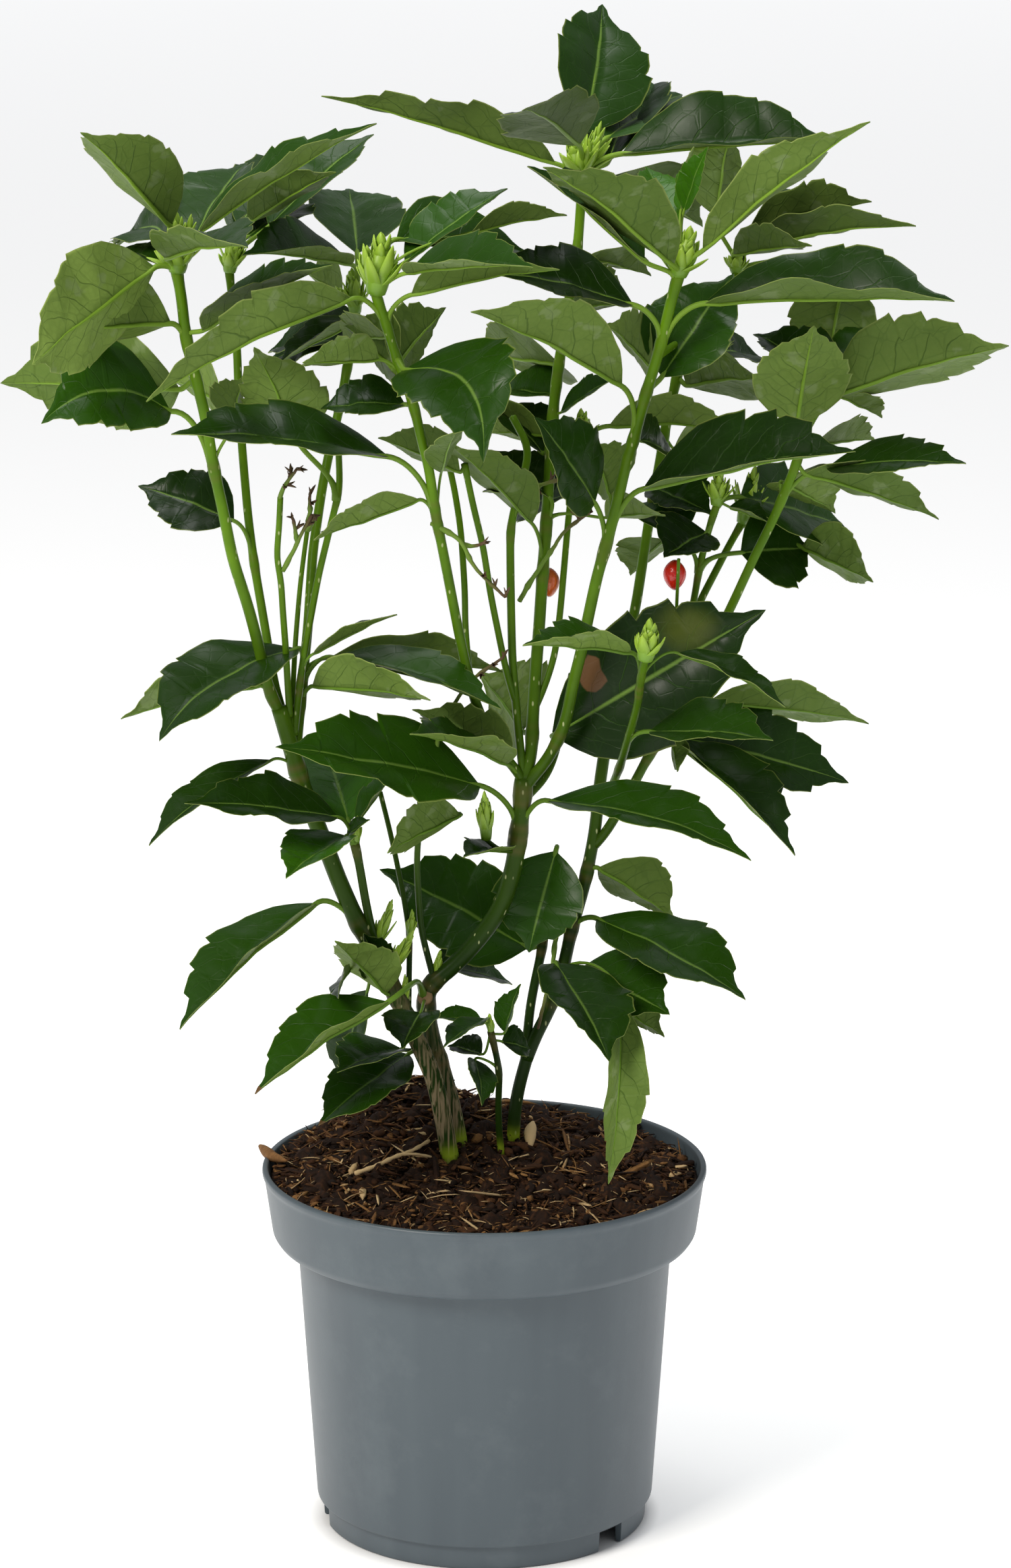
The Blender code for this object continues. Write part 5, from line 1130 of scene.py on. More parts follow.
# How deep a blade's teeth are cut, as shares of the CAD solid's, and how far they are shifted
TOOTH_BITES = (0.35, 1.2)
LARGEST_SHIFT = 0.07
SIDE_VEINS = 6.5
# How the side veins slant and bow towards the tip
VEIN_SLANT = 0.14
VEIN_BOW = 0.16
# The real blades are a little fuller than the CAD's straight-sided ones, and their tips are drawn
# in: by how much, round which place along the blade, and over what reach
FULLNESS = 1.07
TIP_DRAWN_IN = 0.5
TIP_PLACE = 0.91
TIP_REACH = 0.06
# How wide each half of a blade is, as shares of its plain width
HALF_SHARES = (0.92, 1.06)
# The margin's waves: least and greatest height as shares of the length, and how many there are
WAVE_HEIGHTS = (0.008, 0.02)
WAVE_COUNTS = (1.7, 2.9)
# How far a tip droops, as a share of the blade's length
DROOPS = (0.0, 0.035)
# As shares of a blade's width: how far its halves belly out, and its unevenness and quilting
BELLY = 0.05
UNEVENNESS = 0.015
QUILTING = 0.011
SLOW_WAVES = (1.4, 2.3, 3.4, 5.1)
MARGIN_OUT = 0.12
# How much thinner a blade is at its margin
MARGIN_THINNING = 0.55
TONES = (0.0, 0.45)
# How bright the painted backlight makes the leaves that light shines through
BACKLIT_PAINTED_TONE = 0.85
STALK_COLUMNS = 7
STALK_ROWS = 12
# The width of a usual blade, and how slim or stout the stalks of others may be beside its own
USUAL_WIDTH = 36
STOUTNESS = (0.55, 1.15)
# Stalks turn yellow-green above this height, over this run
YOUNG_ABOVE = 380
YOUNG_RUN = 220
# How much a leaf stalk's first rings widen into its foot
STALK_FOOT = (1.9, 1.7, 1.4, 1.15)
leaf_dice = np.random.default_rng(23)


def blade_stations(teeth, shifts):
    """Even stations along a blade, with a close set round each tooth of each half."""
    close = np.add.outer(TOOTH_PLACES[teeth], TOOTH_POINTS).ravel()
    sets = [close - shift * np.sin(math.pi * close) for shift in shifts]
    even = np.linspace(0, 1, BLADE_ROWS) ** ROW_POWER
    return np.unique(np.clip(np.concatenate([even, *sets]), 0, 1))


def sheet(top, offset):
    """A closed sheet: the grid of points top, the same grid less the offset, and a rim between.

    Both grids' quads start at the same corner, so both are split along the same diagonal.
    """
    rows, columns = top.shape[:2]
    count = rows * columns
    points = np.concatenate([top.reshape(-1, 3), (top - offset).reshape(-1, 3)])
    upper = grid_faces(rows, columns, False)
    number = np.arange(count).reshape(rows, columns)
    rim = np.concatenate([number[0], number[1:, -1], number[-1, -2::-1], number[-2:0:-1, 0]])
    onward = np.roll(rim, -1)
    edge = np.stack([onward, rim, rim + count, onward + count], 1)
    return points, upper, np.concatenate([np.roll(upper[:, ::-1], 1, axis=1) + count, edge])


def leaf_marks(leaf, s, v):
    """How dry and how yellow each point of a blade is, from the marks on that leaf."""
    shown = {"dry": np.zeros_like(s), "yellow": np.zeros_like(s)}
    for name, at, over, reach, spread, kind in MARKS:
        if name == leaf.name:
            mark = np.clip(1.6 - np.hypot((s - at) / reach, (v - over) / spread), 0, 1)
            shown[kind] = np.maximum(shown[kind], mark)
    return shown


def leaf_tone(leaf):
    """How bright a leaf's green is, from 0 to 1; on a few leaves this is painted backlight."""
    tone = 1.0 if leaf.name in YOUNG_LEAVES else leaf_dice.uniform(*TONES)
    return BACKLIT_PAINTED_TONE if leaf.name in BACKLIT_PAINTED_LEAVES else tone


def blade_part(leaf):
    """The blade with its finer form: each half bellies out to the margin, and the margin waves.

    Margin wave: a sin(2 pi r s + start) |v|^1.6 sin(pi s) along the upper face, with its own
    start on each side, where s runs along the blade and v across it. The blade also puffs up
    between its side veins, by -cos(2 pi n (s - 0.14|v| - 0.16 v^2)) sin(pi|v|), is uneven by four
    slow waves, and droops by s^4. Its outline is drawn in by f - 0.5 exp(-((s - 0.91) / 0.06)^2)
    to a long tip, and each half's teeth are shifted along by their own d sin(pi s).
    """
    _, base, tip, side, normal = leaf_frame(leaf)
    length = np.linalg.norm(tip - base)
    shifts = leaf_dice.uniform(-LARGEST_SHIFT, LARGEST_SHIFT, 2)
    along = blade_stations(leaf.teeth, shifts)
    bite = leaf_dice.uniform(*TOOTH_BITES)
    top = blade(leaf, along, LEAF_COLUMNS, leaf.teeth, bite)
    middle = blade(leaf, along, np.zeros(1), leaf.teeth)
    drawn = FULLNESS - TIP_DRAWN_IN * np.exp(-((along - TIP_PLACE) / TIP_REACH) ** 2)
    plain = np.maximum(half_width(along, leaf.teeth, bite), 0.01)
    halves = []
    for shift in shifts:
        shifted = half_width(along + shift * np.sin(math.pi * along), leaf.teeth, bite)
        halves.append(shifted * drawn * leaf_dice.uniform(*HALF_SHARES) / plain)
    stretch = np.where(LEAF_COLUMNS < 0, halves[0][:, None], halves[1][:, None])
    top = middle + (top - middle) * stretch[..., None]

    s, v = np.meshgrid(along, LEAF_COLUMNS, indexing="ij")
    away, width = np.abs(v), half_width(s, leaf.teeth)
    starts = leaf_dice.uniform(0, 2 * math.pi, 2)
    start = np.where(v < 0, starts[0], starts[1])
    height = leaf_dice.uniform(*WAVE_HEIGHTS) * length
    phase = 2 * math.pi * leaf_dice.uniform(*WAVE_COUNTS) * s + start
    wave = height * np.sin(phase) * away ** 1.6 * np.sin(math.pi * s)
    belly = BELLY * leaf.wide * away * (1 - away) * 2 * width
    droop = -leaf_dice.uniform(*DROOPS) * length * s ** 4
    tilts, begins = leaf_dice.uniform(-0.6, 0.6, 4), leaf_dice.uniform(0, 2 * math.pi, 4)
    uneven = sum(np.sin(2 * math.pi * (rate * s + tilt * v) + begin) / rate
                 for rate, tilt, begin in zip(SLOW_WAVES, tilts, begins))
    rows = s - VEIN_SLANT * away - VEIN_BOW * v ** 2
    quilt = -np.cos(2 * math.pi * SIDE_VEINS * rows) * np.sin(math.pi * away)
    relief = leaf.wide * (UNEVENNESS * uneven * np.sin(math.pi * s) + QUILTING * quilt * width)
    top = (top + (wave + belly + droop + relief)[..., None] * normal
           + MARGIN_OUT * v[..., None] * side)
    thin = BLADE_THICKNESS * (1 - MARGIN_THINNING * away)[..., None] * normal
    points, upper, lower = sheet(top, thin)
    if np.dot(np.cross(side, tip - base), normal) < 0:
        upper, lower = upper[:, ::-1], lower[:, ::-1]
    shown = {"along": s, "across": v, **leaf_marks(leaf, s, v)}
    fields = {name: np.tile(values.ravel(), 2) for name, values in shown.items()}
    fields["tone"] = leaf_tone(leaf)
    return (points, [upper], fields, 1), (points, [lower], fields, 2), top, normal


def petiole_part(leaf, top, normal):
    """The leaf stalk and the midrib it runs on into, as one tube that thins towards the tip.

    The stalk is the Bezier curve from the stem's middle, up along the stem, to the blade's base.
    Its radius is 1.05, and the midrib's is 0.72 (1 - s) + 0.12, both for a blade of usual width.
    """
    node, base, tip, _, _ = leaf_frame(leaf)
    gap = np.linalg.norm(base - node)
    line, _ = stem_line(leaf.stem)
    near = np.argmin(np.linalg.norm(line - node, axis=1))
    rise = unit(line[min(near + 1, len(line) - 1)] - line[max(near - 1, 0)])
    t = np.linspace(0, 1, STALK_ROWS)[:, None]
    first = node + rise * gap * 0.28 + (base - node) * 0.12
    second = base - unit(tip - base) * gap * 0.33
    stalk = ((1 - t) ** 3 * node + 3 * t * (1 - t) ** 2 * first + 3 * t * t * (1 - t) * second
             + t ** 3 * base)
    rib = top[1:-1:2, len(LEAF_COLUMNS) // 2]
    route = np.concatenate([stalk, rib])
    share = np.concatenate([np.zeros(len(stalk)), np.linspace(0.02, 1, len(rib))])
    stout = np.clip(leaf.wide / USUAL_WIDTH, *STOUTNESS)
    radii = stout * np.where(share > 0, 0.72 * (1 - share) + 0.12, 1.05)
    radii[:len(STALK_FOOT)] *= STALK_FOOT
    sunk = BLADE_THICKNESS * 0.8 + radii[len(stalk):, None] * 0.35
    route[len(stalk):] -= sunk * normal
    spots, faces, order = tube(route, radii, STALK_COLUMNS, normal + 0.01)
    young = np.clip((spots[:, 2] - YOUNG_ABOVE) / YOUNG_RUN, 0.1, 1)
    return spots, faces, {"along": share[order], "tone": young}, 3


def leaf_colours(tree, place, vein_reach, loop_share):
    """Shared leaf pattern: how strongly each spot is side vein, midrib, margin or dry.

    A side vein lies where n (s - 0.14|v| - 0.16 v^2) is a whole number and a half: it leaves the
    midrib at a slant and bows towards the tip. A slow noise makes each one wander, and the edges
    of 9 mm cells close them in loops.
    """
    drift = noise(tree, place, 70.0, 2.0)
    out = maths(tree, "ABSOLUTE", field(tree, "across"))
    wander = maths(tree, "MULTIPLY_ADD", drift, 0.11, field(tree, "along"))
    slant = maths(tree, "MULTIPLY_ADD", out, -VEIN_SLANT, wander)
    path = maths(tree, "MULTIPLY_ADD", maths(tree, "MULTIPLY", out, out), -VEIN_BOW, slant)
    within = maths(tree, "FRACT", maths(tree, "MULTIPLY", path, SIDE_VEINS))
    off = maths(tree, "ABSOLUTE", maths(tree, "SUBTRACT", within, 0.5))
    vein = maths(tree, "MULTIPLY", ramp(tree, off, 0.0, vein_reach, 1.0, 0.0, "SMOOTHSTEP"),
                 ramp(tree, out, 0.45, 0.95, 1.0, 0.0))
    cells = add_node(tree, "ShaderNodeTexVoronoi", {"Vector": place, "Scale": 115.0}, "Distance",
                     feature="DISTANCE_TO_EDGE")
    vein = maths(tree, "MAXIMUM", vein, ramp(tree, cells, 0.015, 0.05, loop_share, 0.0))
    edge = maths(tree, "MULTIPLY_ADD", drift, 0.8, field(tree, "dry"))
    return (vein, ramp(tree, out, 0.012, 0.045, 1.0, 0.0), ramp(tree, out, 0.965, 1.0),
            ramp(tree, edge, 0.95, 1.05))


def waxy_upper_side():
    """The upper side: thick, dark and glossy with wax, and paler along its veins and margin."""
    material, tree, shader = start_material("waxy_upper_side")
    place = coordinates(tree)
    vein, midrib, margin, dry = leaf_colours(tree, place, 0.04, 0.12)
    dust = noise(tree, place, 160.0, 6.0, 0.75)
    veins = bump(tree, maths(tree, "MULTIPLY", vein, -1.0), 0.55, 0.0006)
    set_inputs(tree, shader, {
        "Base Color": layered(tree, "#0F2005", (
            ("#1B3907", noise(tree, place, 45.0, 4.0), 0.6),
            # Brighter by tone: each leaf's own green, and painted backlight on a few leaves
            ("#3C700E", field(tree, "tone"), 0.7),
            ("#3F6420", vein, 0.3),
            ("#7C9E45", midrib, 0.55),
            ("#8C9A4C", margin, 0.6),
            ("#7C8A74", ramp(tree, dust, 0.58, 0.8), 0.12),
            ("#8C9438", field(tree, "yellow"), 0.22),
            ("#6E4E34", dry, 0.85))),
        "Roughness": ramp(tree, dust, 0.3, 0.75, 0.25, 0.42),
        "Specular IOR Level": 0.12, "Coat Weight": 0.09, "Coat Roughness": 0.22,
        "Normal": bump(tree, noise(tree, place, 700.0, 2.0), 0.12, 0.0002, veins)})
    return material


def pale_under_side():
    """The under side: unwaxed and matt, grey-green, with a raised net of veins."""
    material, tree, shader = start_material("pale_under_side")
    place = coordinates(tree)
    vein, midrib, margin, dry = leaf_colours(tree, place, 0.05, 0.3)
    cells = add_node(tree, "ShaderNodeTexVoronoi", {"Vector": place, "Scale": 420.0}, "Distance")
    net = ramp(tree, cells, 0.35, 0.7)
    set_inputs(tree, shader, {
        "Base Color": layered(tree, "#485F22", (
            ("#667E3B", noise(tree, place, 40.0, 4.0), 0.6),
            # Brighter by tone: each leaf's own green, and painted backlight on a few leaves
            ("#93AE52", field(tree, "tone"), 0.65),
            ("#415E22", net, 0.10),
            ("#34501C", vein, 0.55),
            ("#8C9A72", ramp(tree, noise(tree, place, 90.0, 3.0), 0.6, 0.66), 0.3),
            ("#829F44", midrib, 0.7),
            ("#98A55C", margin, 0.6),
            ("#8C9438", field(tree, "yellow"), 0.22),
            ("#6E4E34", dry, 0.85))),
        "Roughness": 0.55, "Specular IOR Level": 0.12,
        "Normal": bump(tree, net, 0.2, 0.0002, bump(tree, vein, 0.5, 0.0005))})
    return material


def leaf_stalk_green():
    """Leaf stalks and midribs: pale, smooth and full of sap, yellower high on the plant."""
    material, tree, shader = start_material("leaf_stalk_green")
    clouds = noise(tree, coordinates(tree), 120.0, 3.0)
    set_inputs(tree, shader, {
        "Base Color": layered(tree, "#4F7318", (
            ("#7FA22C", field(tree, "tone"), 0.8), ("#86A04E", clouds, 0.3))),
        "Roughness": 0.4, "Specular IOR Level": 0.15})
    return material


PLANT_NODES = {"left": "plant_left", "middle": "plant_middle", "right": "plant_right",
               "shoot": "young_shoot"}
settle()
LEAVES += [read_leaf(*row) for row in INNER_LEAF_ROWS]
plant_materials = [green_bark(), waxy_upper_side(), pale_under_side(), leaf_stalk_green()]
for plant, node_name in PLANT_NODES.items():
    parts = [stem_part(name, [stem_point(name, leaf.at) for leaf in LEAVES if leaf.stem == name])
             for name, stem in STEMS.items() if stem.plant == plant]
    stems = join_parts(plant + "_stems", parts, plant_materials[:1])
    parts = []
    for leaf in LEAVES:
        if STEMS[leaf.stem].plant == plant:
            upper, lower, top, normal = blade_part(leaf)
            parts += [upper, lower, petiole_part(leaf, top, normal)]
    leaves = join_parts(plant + "_leaves", parts, plant_materials)
    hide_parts(node_name)


# The buds: tight spindles of narrow green scales at the ends of the stems, whose outer pairs have
# begun to part. Each scale is joined at the bud's foot, and each pair stands across the last.

# Each bud: its stem, photo pixels of its foot and its tip, and its diameter
BUDS = (
    ("L1", (264, 404), (268, 342), 11.0), ("L2", (341, 404), (345, 365), 8.0),
    ("L6", (527, 464), (522, 405), 8.0), ("S1", (557, 436), (569, 352), 13.0),
    ("S3", (863, 268), (848, 206), 11.0), ("S3", (866, 264), (892, 190), 7.0),
    ("S4", (1008, 410), (1024, 345), 11.0), ("S4b", (1095, 406), (1092, 372), 8.0),
    ("S5", (860, 656), (864, 612), 8.0), ("S7", (720, 1247), (719, 1180), 8.5),
    ("Rb", (1065, 750), (1067, 700), 8.0), ("Re", (1102, 776), (1121, 700), 8.0),
    ("Rg", (957, 980), (966, 925), 10.0), ("L7", (526, 1254), (530, 1215), 6.0),
    ("L8", (604, 1390), (612, 1352), 5.0), ("mid_trunk", (644, 1450), (653, 1412), 5.0),
    ("shoot", (729, 1534), (726, 1506), 4.5),
    # These are too slight for the CAD
    ("L1", (262, 398), (262, 320), 10.0), ("L1", (262, 400), (234, 350), 8.0),
    ("L1", (266, 396), (284, 330), 7.0), ("L2", (341, 402), (356, 350), 7.0),
    ("S1", (556, 438), (548, 372), 8.0), ("S4", (1006, 412), (1000, 352), 8.0),
    ("left_trunk", (588, 1392), (581, 1340), 6.5), ("left_trunk", (606, 1432), (611, 1386), 7.5),
    ("left_trunk", (590, 1446), (573, 1404), 7.0), ("left_trunk", (612, 1490), (602, 1452), 6.0),
    ("mid_trunk", (634, 1484), (652, 1448), 7.0))
# The scales stand out beyond the CAD's plain spindle
BUD_SPREAD = 1.25
# Stems whose buds are still shut, and how far those open
SHUT_BUDS = ("S7", "L7", "L8", "mid_trunk", "shoot", "left_trunk")
SHUT_OPENNESS = 0.3
# Each crossed pair of outer scales: its length as a share of the bud's, flare and half turns
SCALE_PAIRS = ((0.66, 0.62, 0.0), (0.74, 0.42, 0.5), (0.82, 0.26, 0.25), (0.86, 0.16, 0.75),
               (0.7, 0.34, 0.1))
TUFT_SCALES = 12
# Scales are this wide as a share of the bud's diameter: the outer ones, and those of the tuft
OUTER_WIDTH = 0.24
TUFT_WIDTH = 0.16
# How much each scale's turn, length and flare vary
TURN_VARIETY = 0.2
LENGTH_VARIETY = (0.85, 1.1)
FLARE_VARIETY = (0.6, 1.3)
bud_dice = np.random.default_rng(31)


def bud_scale(foot, axis, out, length, width, hug, flare):
    """One awl-shaped scale whose middle runs from the foot to its tip, t from 0 to 1.

    Its half width is 1.9 w (1 - t)^0.8 (t + 0.12)^0.5 + 0.07, it stands
    hug sin(pi (t + 0.1) / 1.4) + flare length t^1.7 away from the axis, and it is cupped by 0.45
    of its half width.
    """
    t = np.linspace(0, 1, 9)[:, None]
    v = np.linspace(-1, 1, 5)[None, :]
    half = 1.9 * width * (1 - t) ** 0.8 * (t + 0.12) ** 0.5 + 0.07
    away = (hug * np.sin(math.pi * (t + 0.1) / 1.4) + flare * length * t ** 1.7
            - 0.45 * half * v ** 2)
    middle = foot + axis * (length * t)[..., None] + out * away[..., None]
    return middle + np.cross(axis, out) * (half * v)[..., None], np.broadcast_to(t, (9, 5))


def bud_parts(number, stem, foot_pixel, tip_pixel, diameter):
    """One bud: a slim core, crossed pairs of scales round it, and a tuft of points on top.

    Its diameter d is BUD_SPREAD (0.72 + 0.28 openness) times the given one, and its core's radius
    at the share u of its length is 0.3 d sin(pi (0.25 + 0.75 u))^0.8 + 0.15.
    """
    foot = stem_point(stem, foot_pixel)
    tip = seen(tip_pixel, foot[1])
    length, axis = np.linalg.norm(tip - foot), unit(tip - foot)
    openness = SHUT_OPENNESS if stem in SHUT_BUDS else 1.0
    diameter *= BUD_SPREAD * (0.72 + 0.28 * openness)
    first = unit(np.cross(axis, [0.3, 1.0, 0.1 * (number % 5)]))
    second = np.cross(axis, first)
    along = np.linspace(0, 0.9, 12)
    thick = diameter * 0.30 * np.sin(math.pi * (0.25 + 0.75 * along)) ** 0.8 + 0.15
    spots, faces, order = tube(foot + axis * length * along[:, None], thick, 10, first)
    parts = [(spots, faces, {"along": along[order]}, 0)]
    scales = [(angle, 0.0, reach, flare, OUTER_WIDTH) for reach, flare, turn in SCALE_PAIRS
              for angle in (math.pi * turn, math.pi * (turn + 1))]
    scales += [(2.4 * step, 0.22 + 0.045 * step, 0.42, 0.42 - 0.03 * step, TUFT_WIDTH)
               for step in range(TUFT_SCALES)]
    for angle, start, reach, flare, width in scales:
        angle += bud_dice.normal(0, TURN_VARIETY)
        out = first * math.cos(angle) + second * math.sin(angle)
        size = length * reach * bud_dice.uniform(*LENGTH_VARIETY)
        grid, t = bud_scale(foot + axis * length * start, axis, out, size, diameter * width,
                            diameter * 0.3 * (1 - 0.6 * start),
                            flare * openness * bud_dice.uniform(*FLARE_VARIETY))
        points, upper, lower = sheet(grid, out * 0.4)
        parts.append((points, [upper, lower], {"along": np.tile(t.ravel(), 2)}, 0))
    return parts


def young_scale():
    """Young scales: soft, thin and yellow-green, greener at the foot, with a satin skin."""
    material, tree, shader = start_material("young_scale")
    clouds = noise(tree, coordinates(tree), 300.0, 3.0)
    set_inputs(tree, shader, {
        "Base Color": layered(tree, "#5F8A1A", (
            ("#A3C23A", field(tree, "along"), 0.95), ("#7FA32C", clouds, 0.4))),
        "Roughness": 0.42, "Subsurface Weight": 0.2,
        "Subsurface Radius": (0.0008, 0.0012, 0.0004)})
    return material


bud_scale_green = young_scale()
for plant in PLANT_NODES:
    parts = []
    for number, (stem, *facts) in enumerate(BUDS):
        if STEMS[stem].plant == plant:
            parts += bud_parts(number, stem, *facts)
    buds = join_parts(plant + "_buds", parts, [bud_scale_green])


# The dead flower stalks: last spring's panicles, dying back from their tips to thin brown threads
# between the leaves, with the shrivelled scales of fallen flowers at their ends.

# Each stalk: its stem, its route in photo pixels, and how many dry husks sit at its end
FLOWER_STALKS = (
    ("L3", ((416, 738), (420, 724), (428, 712), (440, 696)), 5),
    ("L3", ((419, 846), (432, 820), (444, 798), (463, 764)), 2),
    ("L3", ((441, 802), (438, 788), (435, 770)), 2),
    ("L3", ((457, 774), (461, 756), (460, 735)), 2),
    ("L4", ((456, 787), (460, 776), (466, 768)), 1),
    ("S1", ((640, 776), (684, 799), (704, 842), (750, 886)), 3),
    ("S1", ((690, 808), (703, 812), (712, 808)), 1),
    ("S2", ((764, 742), (790, 726), (811, 716), (837, 710)), 3),
    ("S3", ((770, 892), (813, 822), (837, 788), (877, 759)), 2),
    ("S0", ((640, 1156), (649, 1090), (669, 1053), (693, 1010), (747, 975)), 3),
    ("Rb", ((825, 1384), (818, 1440), (806, 1490), (798, 1526)), 0))
HUSK_LENGTH = 4.5
HUSK_ANGLES = (0.4, 2.3, 4.1)
HUSK_VARIETY = (0.7, 1.1)
HUSK_THICKNESS = 0.3
# How far in front of its own stem a stalk ends, and how far it strays at each step
STALK_LEAN = 8
STRAY = 0.12
STALK_RADII = (1.1, 0.6)
stalk_dice = np.random.default_rng(47)


def stalk_route(stem, pixels):
    """A stalk's route: it leaves its stem's depth and ends a little in front of it."""
    depth = stem_point(stem, pixels[0])[1]
    points = [seen(pixel, depth - STALK_LEAN * rise)
              for pixel, rise in zip(pixels, np.linspace(0, 1, len(pixels)))]
    return smooth_route(np.array(points), 2.0, 3.0)


def build_dead_stalks():
    """Each stalk is a thinning tube, and each husk at its end three bent, pointed sheets.

    Three lumps thicken a stalk by the share 0.5 exp(-(d / 0.09)^2), where d is how far off the
    nearest one's middle lies, as a share of the way from lump to lump.
    """
    parts = []
    for stem, pixels, husks in FLOWER_STALKS:
        route = stalk_route(stem, pixels)
        share = np.linspace(0, 1, len(route))
        wander = np.cumsum(stalk_dice.normal(0, STRAY, route.shape), 0)
        route = route + wander - share[:, None] * wander[-1]
        lumps = 1 + 0.5 * np.exp(-((share * 3 % 1 - 0.5) / 0.09) ** 2)
        radii = np.linspace(*STALK_RADII, len(route)) * lumps
        spots, faces, order = tube(route, radii, 7, np.array([0.0, 1.0, 0.1]))
        parts.append((spots, faces, {"along": share[order]}, 0))
        for husk in range(husks):
            centre = route[-1 - round(husk * min(3.0, (len(route) - 2) / husks))]
            axis = unit(stalk_dice.normal(0, 1, 3) + (0, 0, 0.8))
            out = unit(np.cross(axis, [0.0, 1.0, 0.0]))
            for angle in HUSK_ANGLES:
                lean = out * math.cos(angle) + np.cross(axis, out) * math.sin(angle)
                size = HUSK_LENGTH * stalk_dice.uniform(*HUSK_VARIETY)
                grid, _ = bud_scale(centre, axis, lean, size, size * 0.16, 0.4, 0.35)
                points, upper, lower = sheet(grid, lean * HUSK_THICKNESS)
                parts.append((points, [upper, lower], {"along": 1.0}, 0))
    stalks = join_parts("dead_flower_stalks", parts, [dried_stalk()])


def dried_stalk():
    """Dying plant fibre: still green at the stem, brown, matt and finely ridged at the tip."""
    material, tree, shader = start_material("dried_stalk")
    clouds = noise(tree, coordinates(tree), 260.0, 4.0)
    dead = ramp(tree, field(tree, "along"), 0.45, 0.95)
    set_inputs(tree, shader, {
        "Base Color": layered(tree, "#5C8420", (("#46331E", dead, 1.0), ("#8A6C40", clouds, 0.25))),
        "Roughness": 0.78, "Normal": bump(tree, clouds, 0.5, 0.0003)})
    return material


build_dead_stalks()


# The litter and the cuts: a dead twig, a bark chip and a shed bud scale lie on the soil, and
# three healed cuts show where side shoots were pruned off with a knife.

# Each length of twig: its route in photo pixels and its radius
TWIGS = ((((527, 1741), (560, 1729), (585, 1716), (610, 1708), (637, 1692)), 1.1),
         (((596, 1712), (622, 1712), (640, 1716)), 0.7))
TWIG_LIFT = 3.6
TWIG_SHADE = 0.85
# The chip and the scale: route in photo pixels, width, flatness and shade
SCRAPS = ((((386, 1700), (404, 1716), (425, 1722)), 2.6, 0.45, 0.5),
          (((787, 1700), (786, 1682), (791, 1664)), 2.7, 0.4, 1.0))
SCRAP_LIFT = 2.6
# Each cut: its stem, its photo pixel and its radius
CUTS = (("mid_trunk", (632, 1479), 3.4), ("S0", (621, 1234), 2.3), ("left_trunk", (560, 1424), 2.6))
# A cut's profile outwards: how far out as a share of the stem's radius, width, and place
CUT_REACHES = np.array([0.6, 0.9, 1.0, 1.06, 1.08])
CUT_WIDTHS = np.array([0.9, 1.0, 0.95, 0.7, 0.35])
CUT_PLACES = np.array([0.0, 0.2, 0.5, 0.9, 1.0])
UPRIGHT = np.array([0.0, 0.0, 1.0])


def on_soil(pixel, lift):
    """The point of a sight line nearest a height above the soil, found on a fine row of depths."""
    line = np.array([seen(pixel, depth) for depth in np.linspace(-94, 94, 800)])
    above = line[:, 2] - soil_height(line[:, 0], line[:, 1]) - lift
    return line[np.argmin(np.abs(above))]


def build_litter():
    """Twigs are rough tubes, and the chip and the scale are flattened spindles."""
    parts = []
    for pixels, radius in TWIGS:
        route = smooth_route(np.array([on_soil(pixel, TWIG_LIFT) for pixel in pixels]), 1.5, 2.0)
        rough = radius * (1 + 0.18 * np.sin(np.arange(len(route)) * 1.9))
        radii = rough * np.linspace(1, 0.7, len(route))
        spots, faces, _ = tube(route, radii, 8, UPRIGHT)
        parts.append((spots, faces, {"shade": TWIG_SHADE}, 0))
    for pixels, width, flat, shade in SCRAPS:
        points = [on_soil(pixel, SCRAP_LIFT + 2 * step) for step, pixel in enumerate(pixels)]
        route = smooth_route(np.array(points), 1.0, 1.5)
        share = np.linspace(0, 1, len(route))
        radii = width * np.sin(math.pi * (0.08 + 0.88 * share)) ** 0.8
        spots, faces, order = tube(route, radii, 10, DEPTHWARD)
        depths = route[order][:, 1]
        spots[:, 1] = depths + (spots[:, 1] - depths) * flat
        parts.append((spots, faces, {"shade": shade}, 0))
    litter = join_parts("twig_and_litter", parts, [peat])


def build_cuts():
    """Each healed cut is a low round cushion that looks out of the stem towards the front."""
    parts = []
    for stem, pixel, radius in CUTS:
        middle = stem_point(stem, pixel)
        reach = CUT_REACHES * (BARK_SHARE * STEMS[stem].foot / 2 + 0.6)
        route = middle + unit(EYE - middle) * reach[:, None]
        spots, faces, order = tube(route, radius * CUT_WIDTHS, 16, UPRIGHT)
        parts.append((spots, faces, {"along": CUT_PLACES[order]}, 0))
    cuts = join_parts("healed_cuts", parts, [healed_cut()])


def healed_cut():
    """Dry cut wood in a corky rim: pale tan in the middle, dark brown round it."""
    material, tree, shader = start_material("healed_cut")
    grain = noise(tree, coordinates(tree), 700.0, 3.0)
    set_inputs(tree, shader, {
        "Base Color": layered(tree, "#4A3A20", (
            ("#A98B62", field(tree, "along"), 1.0), ("#6B4F30", grain, 0.5))),
        "Roughness": 0.75, "Normal": bump(tree, grain, 0.4, 0.0003)})
    return material


build_litter()
build_cuts()


# The berries: two ripe fruits, each a glossy egg-shaped skin over pulp, with the dark scar of the
# flower at its free end. Each hangs close behind the stem that it grew on.

# Each berry: the stem it hangs behind, photo pixel of its centre, diameter, length and colours
BERRIES = {
    "berry_red": ("Rh", (1001, 853), 10.0, 13.0, "#C0140A", "#EC2C14"),
    "berry_orange": ("S3", (815, 864), 9.0, 12.5, "#C84E18", "#F07F3C")}
BERRY_FIT = 0.45
BERRY_COLUMNS = 28


